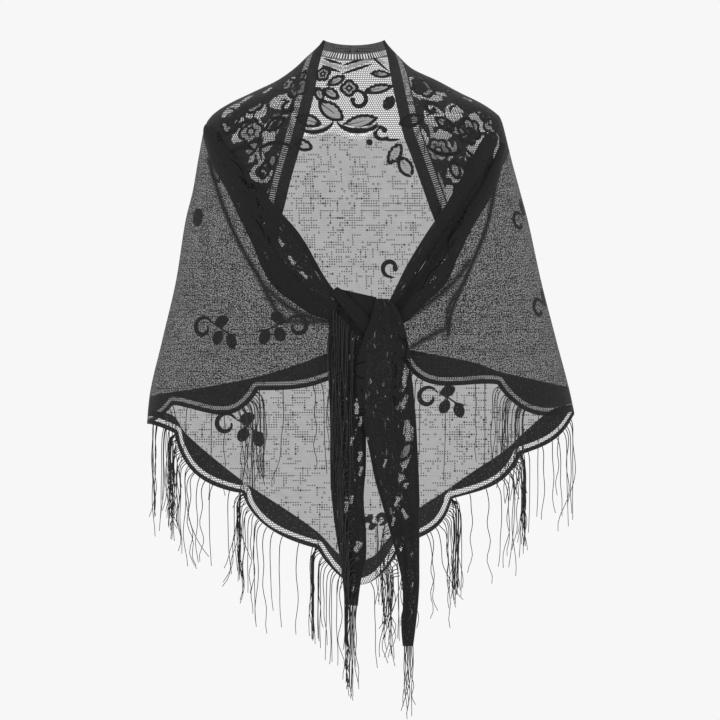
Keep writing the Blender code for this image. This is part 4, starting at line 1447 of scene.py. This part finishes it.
def flat_places(points):
    """Distances over the cloth, across from the middle column and down from the top row."""
    across = np.linalg.norm(np.diff(points, axis=1), axis=2)
    across = np.concatenate([np.zeros((len(points), 1)), np.cumsum(across, axis=1)], axis=1)
    across = across - across[:, points.shape[1] // 2][:, None]
    down = np.linalg.norm(np.diff(points, axis=0), axis=2)
    down = np.concatenate([np.zeros((1, points.shape[1])), np.cumsum(down, axis=0)], axis=0)
    return np.stack([across, -down], axis=-1)


def band(name, rows, section, row_steps, flat, finish, motifs):
    """A folded band of cloth: its section carried through its rows, and laid on the body."""
    rows = smooth_line(rows, row_steps)[:, None, :]
    share, rise = np.moveaxis(smooth_line(section)[None], -1, 0)
    across = rows[..., 0] + (rows[..., 2] - rows[..., 0]) * share
    level = rows[..., 1] + (rows[..., 3] - rows[..., 1]) * share
    angle, height = place_on_body(across, level, True)
    points = lifted(angle, height, rows[..., 4] + rise * rows[..., 5])
    knit = Knit(points, body_outward(angle, height))
    knit.solid[:] = -FAR
    draw(knit, motifs, True)
    item = cloth_skin("lace_" + name, points, knit, flat_places(points), name, finish)


folded_knit = knit_finish("folded_knit", 0.7, opacity=0.998, specks=0.6)
plain_folded_knit = knit_finish("plain_folded_knit", 0.7, opacity=1.1)
# Columns: solid it stands for, rows, section, steps between rows, flat size, finish, motifs.
BANDS = [
    ("roll_left", ROLL_LEFT, ROLL_SECTION, 16, (0.07, 0.31), folded_knit, ROLL_LEFT_MOTIFS),
    ("roll_right_inner", ROLL_RIGHT_INNER, ROLL_SECTION, 16, (0.05, 0.25), folded_knit, []),
    ("roll_right_outer", ROLL_RIGHT_OUTER, ROLL_SECTION, 16, (0.05, 0.26), folded_knit,
     ROLL_RIGHT_MOTIFS),
    ("knot_strap", KNOT_STRAP, STRAP_SECTION, 12, (0.028, 0.08), plain_folded_knit, []),
    ("knot_bridge", KNOT_BRIDGE, BRIDGE_SECTION, 12, (0.036, 0.042), plain_folded_knit, []),
    ("tail_left", TAIL_LEFT, TAIL_SECTION, 18, (0.06, 0.40), folded_knit, TAIL_LEFT_MOTIFS),
    ("tail_right", TAIL_RIGHT, TAIL_SECTION, 18, (0.07, 0.46), folded_knit, TAIL_RIGHT_MOTIFS),
]
for folded in BANDS:
    band(*folded)

# The fringe. Long single yarns of twisted black thread are looped through the hem and hang
# straight down from it, a little wavy, with a few that have strayed across the others.
FRINGE_BLACK = (0.016, 0.0155, 0.017, 1.0)
YARN_ROUGHNESS = 0.7
TWIST_SCALE = 900.0
TWIST_DEPTH = 0.3
YARN_RADIUS = 0.68
YARN_STEPS = 18
YARN_SIDES = 5
YARN_STEP_GROWTH = 1.4
YARN_BEND = 6.0
YARN_SAG = 0.7
REACH_UNEVENNESS = 0.26
FEWEST_WAVES = 1.0
MOST_WAVES = 2.6
TIP_THINNING = 0.3
DRIFT = 3.0
STRAY_DRIFT = 13.0
STRAY_SHARE = 0.12
DEPTH_DRIFT = 1.2
HEM_YARN_LENGTH = 118.0
HEM_JITTER = 0.4
TAIL_JITTER = 0.35
STEEP_CROWD = 0.42
LEVEL_CROWD = 0.032
BUNCH_LENGTH = 114.0
BACK_GATHER = 0.3
BACK_BUNCH_SPREAD = 5.0
BACK_BUNCH_YARNS = 7
FRONT_BUNCH_SPREAD = 20.0
FRONT_BUNCH_YARNS = 14
FRONT_BUNCH_LEFT = -150.0
FRONT_BUNCH_RIGHT = 210.0
END_ACROSS = 260.0
END_SPREAD = 34.0
END_YARNS = 7
# Loose yarns that hang in front of the left tail. Columns: across, height, lift.
LOOSE_YARN_ROOTS = [(-35, -287, 12), (-22, -301, 14), (-9, -317, 14), (-3, -327, 14)]
LOOSE_SPACING = 5.0
LOOSE_SHIFT = 3.0
LOOSE_LENGTH = 175.0
# Edges that the tails' yarns leave. Columns: across, height, lift.
TAIL_LEFT_FRINGE = [
    (-31, -306, 9.5), (-25, -382, 11.5), (-18, -464, 13.8), (-12, -546, 15.6),
    (-7, -628, 16.3), (-4, -669, 15.4),
]
TAIL_LEFT_TIP_FRINGE = [
    (-20, -685, 12.5), (-4, -687, 12.5),
]
TAIL_RIGHT_FRINGE = [
    (32.5, -561, 16), (39.5, -587, 15.5), (48.5, -621, 14.5), (53.5, -648, 14),
]
TAIL_RIGHT_TIP_FRINGE = [
    (58, -741, 14), (71, -741, 14),
]
# Columns: edge, its line, spacing, length, seed for chance, whether loose yarns hang there.
TAIL_FRINGES = [
    ("tail_left", TAIL_LEFT_FRINGE, 9.0, 145.0, 14, True),
    ("tail_left_tip", TAIL_LEFT_TIP_FRINGE, 1.4, 104.0, 15, False),
    ("tail_right", TAIL_RIGHT_FRINGE, 5.0, 118.0, 16, False),
    ("tail_right_tip", TAIL_RIGHT_TIP_FRINGE, 1.4, 80.0, 17, False),
]


def yarn_finish():
    """Black thread, its twist a fine grain."""
    finish = Finish("fringe_yarn")
    place = finish.node("ShaderNodeTexCoord", {}, {}, "Object")
    twist = finish.node("ShaderNodeTexNoise", {}, {"Vector": place, "Scale": TWIST_SCALE})
    bump = finish.node("ShaderNodeBump", {}, {
        "Height": twist, "Strength": 0.3, "Distance": TWIST_DEPTH * MM,
    })
    return finish.done(
        Base_Color=FRINGE_BLACK, Roughness=YARN_ROUGHNESS + 0.2 * twist, Normal=bump,
    )


def yarn_paths(line, outward, due, length, chance, gather=0.0, sway=2.2, uneven=0.11, reach=9.5):
    """The ways of yarns that leave a cloth's edge at the given places, and then turn down."""
    count = len(due)
    lengths = lengths_along(line)

    def at(places, values):
        return np.stack([np.interp(places, lengths, values[:, k]) for k in range(3)], axis=1)

    roots, outs = at(due, line), unit(at(due, outward))
    off = unit(np.cross(at(due + 2.0, line) - at(due - 2.0, line), outs))
    off *= np.where(off[:, 2:] > 0.0, -1.0, 1.0)
    t = np.linspace(0.0, 1.0, YARN_STEPS)[None, :, None] ** YARN_STEP_GROWTH
    long = (length * (1.0 + uneven * chance.standard_normal(count)))[:, None, None]
    reach = (reach * (1.0 + REACH_UNEVENNESS * chance.standard_normal(count)))[:, None, None]
    turn = 1.0 - np.exp(-t * long / YARN_BEND)
    fall = np.maximum(t * long - reach * turn * YARN_SAG, 0.0)
    path = roots[:, None, :] + off[:, None, :] * reach * turn - fall * np.array([0.0, 0.0, 1.0])
    t = t[..., 0]
    phase = chance.uniform(0.0, 2 * math.pi, (count, 1))
    waves = chance.uniform(FEWEST_WAVES, MOST_WAVES, (count, 1))
    swing = chance.standard_normal((count, 1)) * sway
    path[..., 0] += swing * np.sin(waves * 2 * math.pi * t + phase) * t ** 0.7
    stray = chance.uniform(size=(count, 1)) < STRAY_SHARE
    drift = chance.standard_normal((count, 1)) * np.where(stray, STRAY_DRIFT, DRIFT)
    path[..., 0] += drift * t ** 3
    middle = path[:, :, 0].mean(axis=0, keepdims=True)
    path[..., 0] += (middle - path[..., 0]) * gather * t ** 0.6
    path[..., 1] += chance.standard_normal((count, 1)) * DEPTH_DRIFT * t
    return path


def yarns(name, paths, replaced):
    """One mesh of thin round yarns that follow the paths and taper to their tips."""
    path = np.vstack(paths)
    count = len(path)
    way = unit(np.gradient(path, axis=1))
    side = unit(np.cross(way, np.array([0.0, 1.0, 0.2])))
    other = np.cross(way, side)
    t = np.linspace(0.0, 1.0, YARN_STEPS)[None, :, None]
    thin = YARN_RADIUS * (1.0 - TIP_THINNING * t)
    around = 2 * math.pi * np.arange(YARN_SIDES) / YARN_SIDES
    grid = np.stack([
        path + (side * math.cos(a) + other * math.sin(a)) * thin for a in around
    ], axis=2)
    index = np.arange(count * YARN_STEPS * YARN_SIDES).reshape(count, YARN_STEPS, YARN_SIDES)
    beside = np.roll(index, -1, axis=2)
    walls = np.stack([index[:, :-1], beside[:, :-1], beside[:, 1:], index[:, 1:]], axis=-1)
    faces = walls.reshape(-1, 4).tolist() + index[:, 0, ::-1].tolist() + index[:, -1].tolist()
    mesh = bpy.data.meshes.new(name)
    mesh.from_pydata((grid.reshape(-1, 3) * MM).tolist(), [], faces)
    hung(name, mesh, yarn_material, replaced)


def even_places(line, spacing, chance):
    """Places along a line that are about evenly spaced."""
    whole = lengths_along(line)[-1]
    count = max(int(whole / spacing), 2)
    return (np.arange(count) + 0.5 + chance.uniform(-TAIL_JITTER, TAIL_JITTER, count)) * whole / count


def hem_yarns(name, places, bunches, gather, spread, bunch_yarns, replaced, seed):
    """The yarns of a scalloped hem: closer where it is steep, with a thick bunch here and there."""
    chance = np.random.default_rng(seed)
    line = body_point(*places.T)
    outward = body_outward(*places.T)
    steps = np.abs(np.diff(line, axis=0))
    travel = np.maximum(np.linalg.norm(steps, axis=1), TINY)
    steep = steps[:, 2] * (steps[:, 2] / travel) ** 2
    crowd = np.concatenate([[0.0], np.cumsum(STEEP_CROWD * steep + LEVEL_CROWD * travel)])
    number = int(crowd[-1])
    wanted = np.arange(number) + 0.5 + chance.uniform(-HEM_JITTER, HEM_JITTER, number)
    lengths = lengths_along(line)
    due = np.interp(wanted * crowd[-1] / number, crowd, lengths)
    paths = [yarn_paths(line, outward, due, HEM_YARN_LENGTH, chance)]
    whole = lengths[-1]
    for across in bunches:
        spot = lengths[np.argmin(np.abs(line[:, 0] - across))]
        at_end = abs(across) > END_ACROSS
        width, count = (END_SPREAD, END_YARNS) if at_end else (spread, bunch_yarns)
        # A yarn that would lie past an end of the hem is turned back along it.
        due = whole - np.abs(whole - np.abs(spot + chance.uniform(-width, width, count)))
        paths.append(yarn_paths(line, outward, due, BUNCH_LENGTH, chance, 0.0 if at_end else gather))
    yarns(name, paths, replaced)


def tail_edge(table):
    """The line of a tail's edge and the way out of it, from rows of across, height and lift."""
    rows = smooth_line(table)
    angle, height = place_on_body(rows[:, 0], rows[:, 1], True)
    return lifted(angle, height, rows[:, 2]), body_outward(angle, height)


def loose_yarns(chance):
    """The few long yarns that hang in front of the left tail, from somewhere on the knot."""
    line, outward = tail_edge(LOOSE_YARN_ROOTS)
    due = even_places(line, LOOSE_SPACING, chance) + chance.uniform(-LOOSE_SHIFT, LOOSE_SHIFT)
    return yarn_paths(
        line, outward, due, LOOSE_LENGTH, chance, gather=0.25, sway=3.0, uneven=0.25, reach=2.0,
    )


yarn_material = yarn_finish()
hem_yarns("fringe_yarns_back", hem_back_places[2:-2], [scallop[0] for scallop in HEM_BACK],
          BACK_GATHER, BACK_BUNCH_SPREAD, BACK_BUNCH_YARNS, "fringe_back", 11)
hem_yarns("fringe_yarns_left", front_hem_places(-1, HEM_FRONT_LEFT)[2:], [FRONT_BUNCH_LEFT],
          0.0, FRONT_BUNCH_SPREAD, FRONT_BUNCH_YARNS, "fringe_front_left", 12)
hem_yarns("fringe_yarns_right", front_hem_places(1, HEM_FRONT_RIGHT)[2:], [FRONT_BUNCH_RIGHT],
          0.0, FRONT_BUNCH_SPREAD, FRONT_BUNCH_YARNS, "fringe_front_right", 13)
for tail, edge, spacing, length, seed, with_loose in TAIL_FRINGES:
    chance = np.random.default_rng(seed)
    line, outward = tail_edge(edge)
    paths = [yarn_paths(line, outward, even_places(line, spacing, chance), length, chance)]
    if with_loose:
        paths.append(loose_yarns(chance))
    yarns("fringe_yarns_" + tail, paths, "fringe_" + tail)
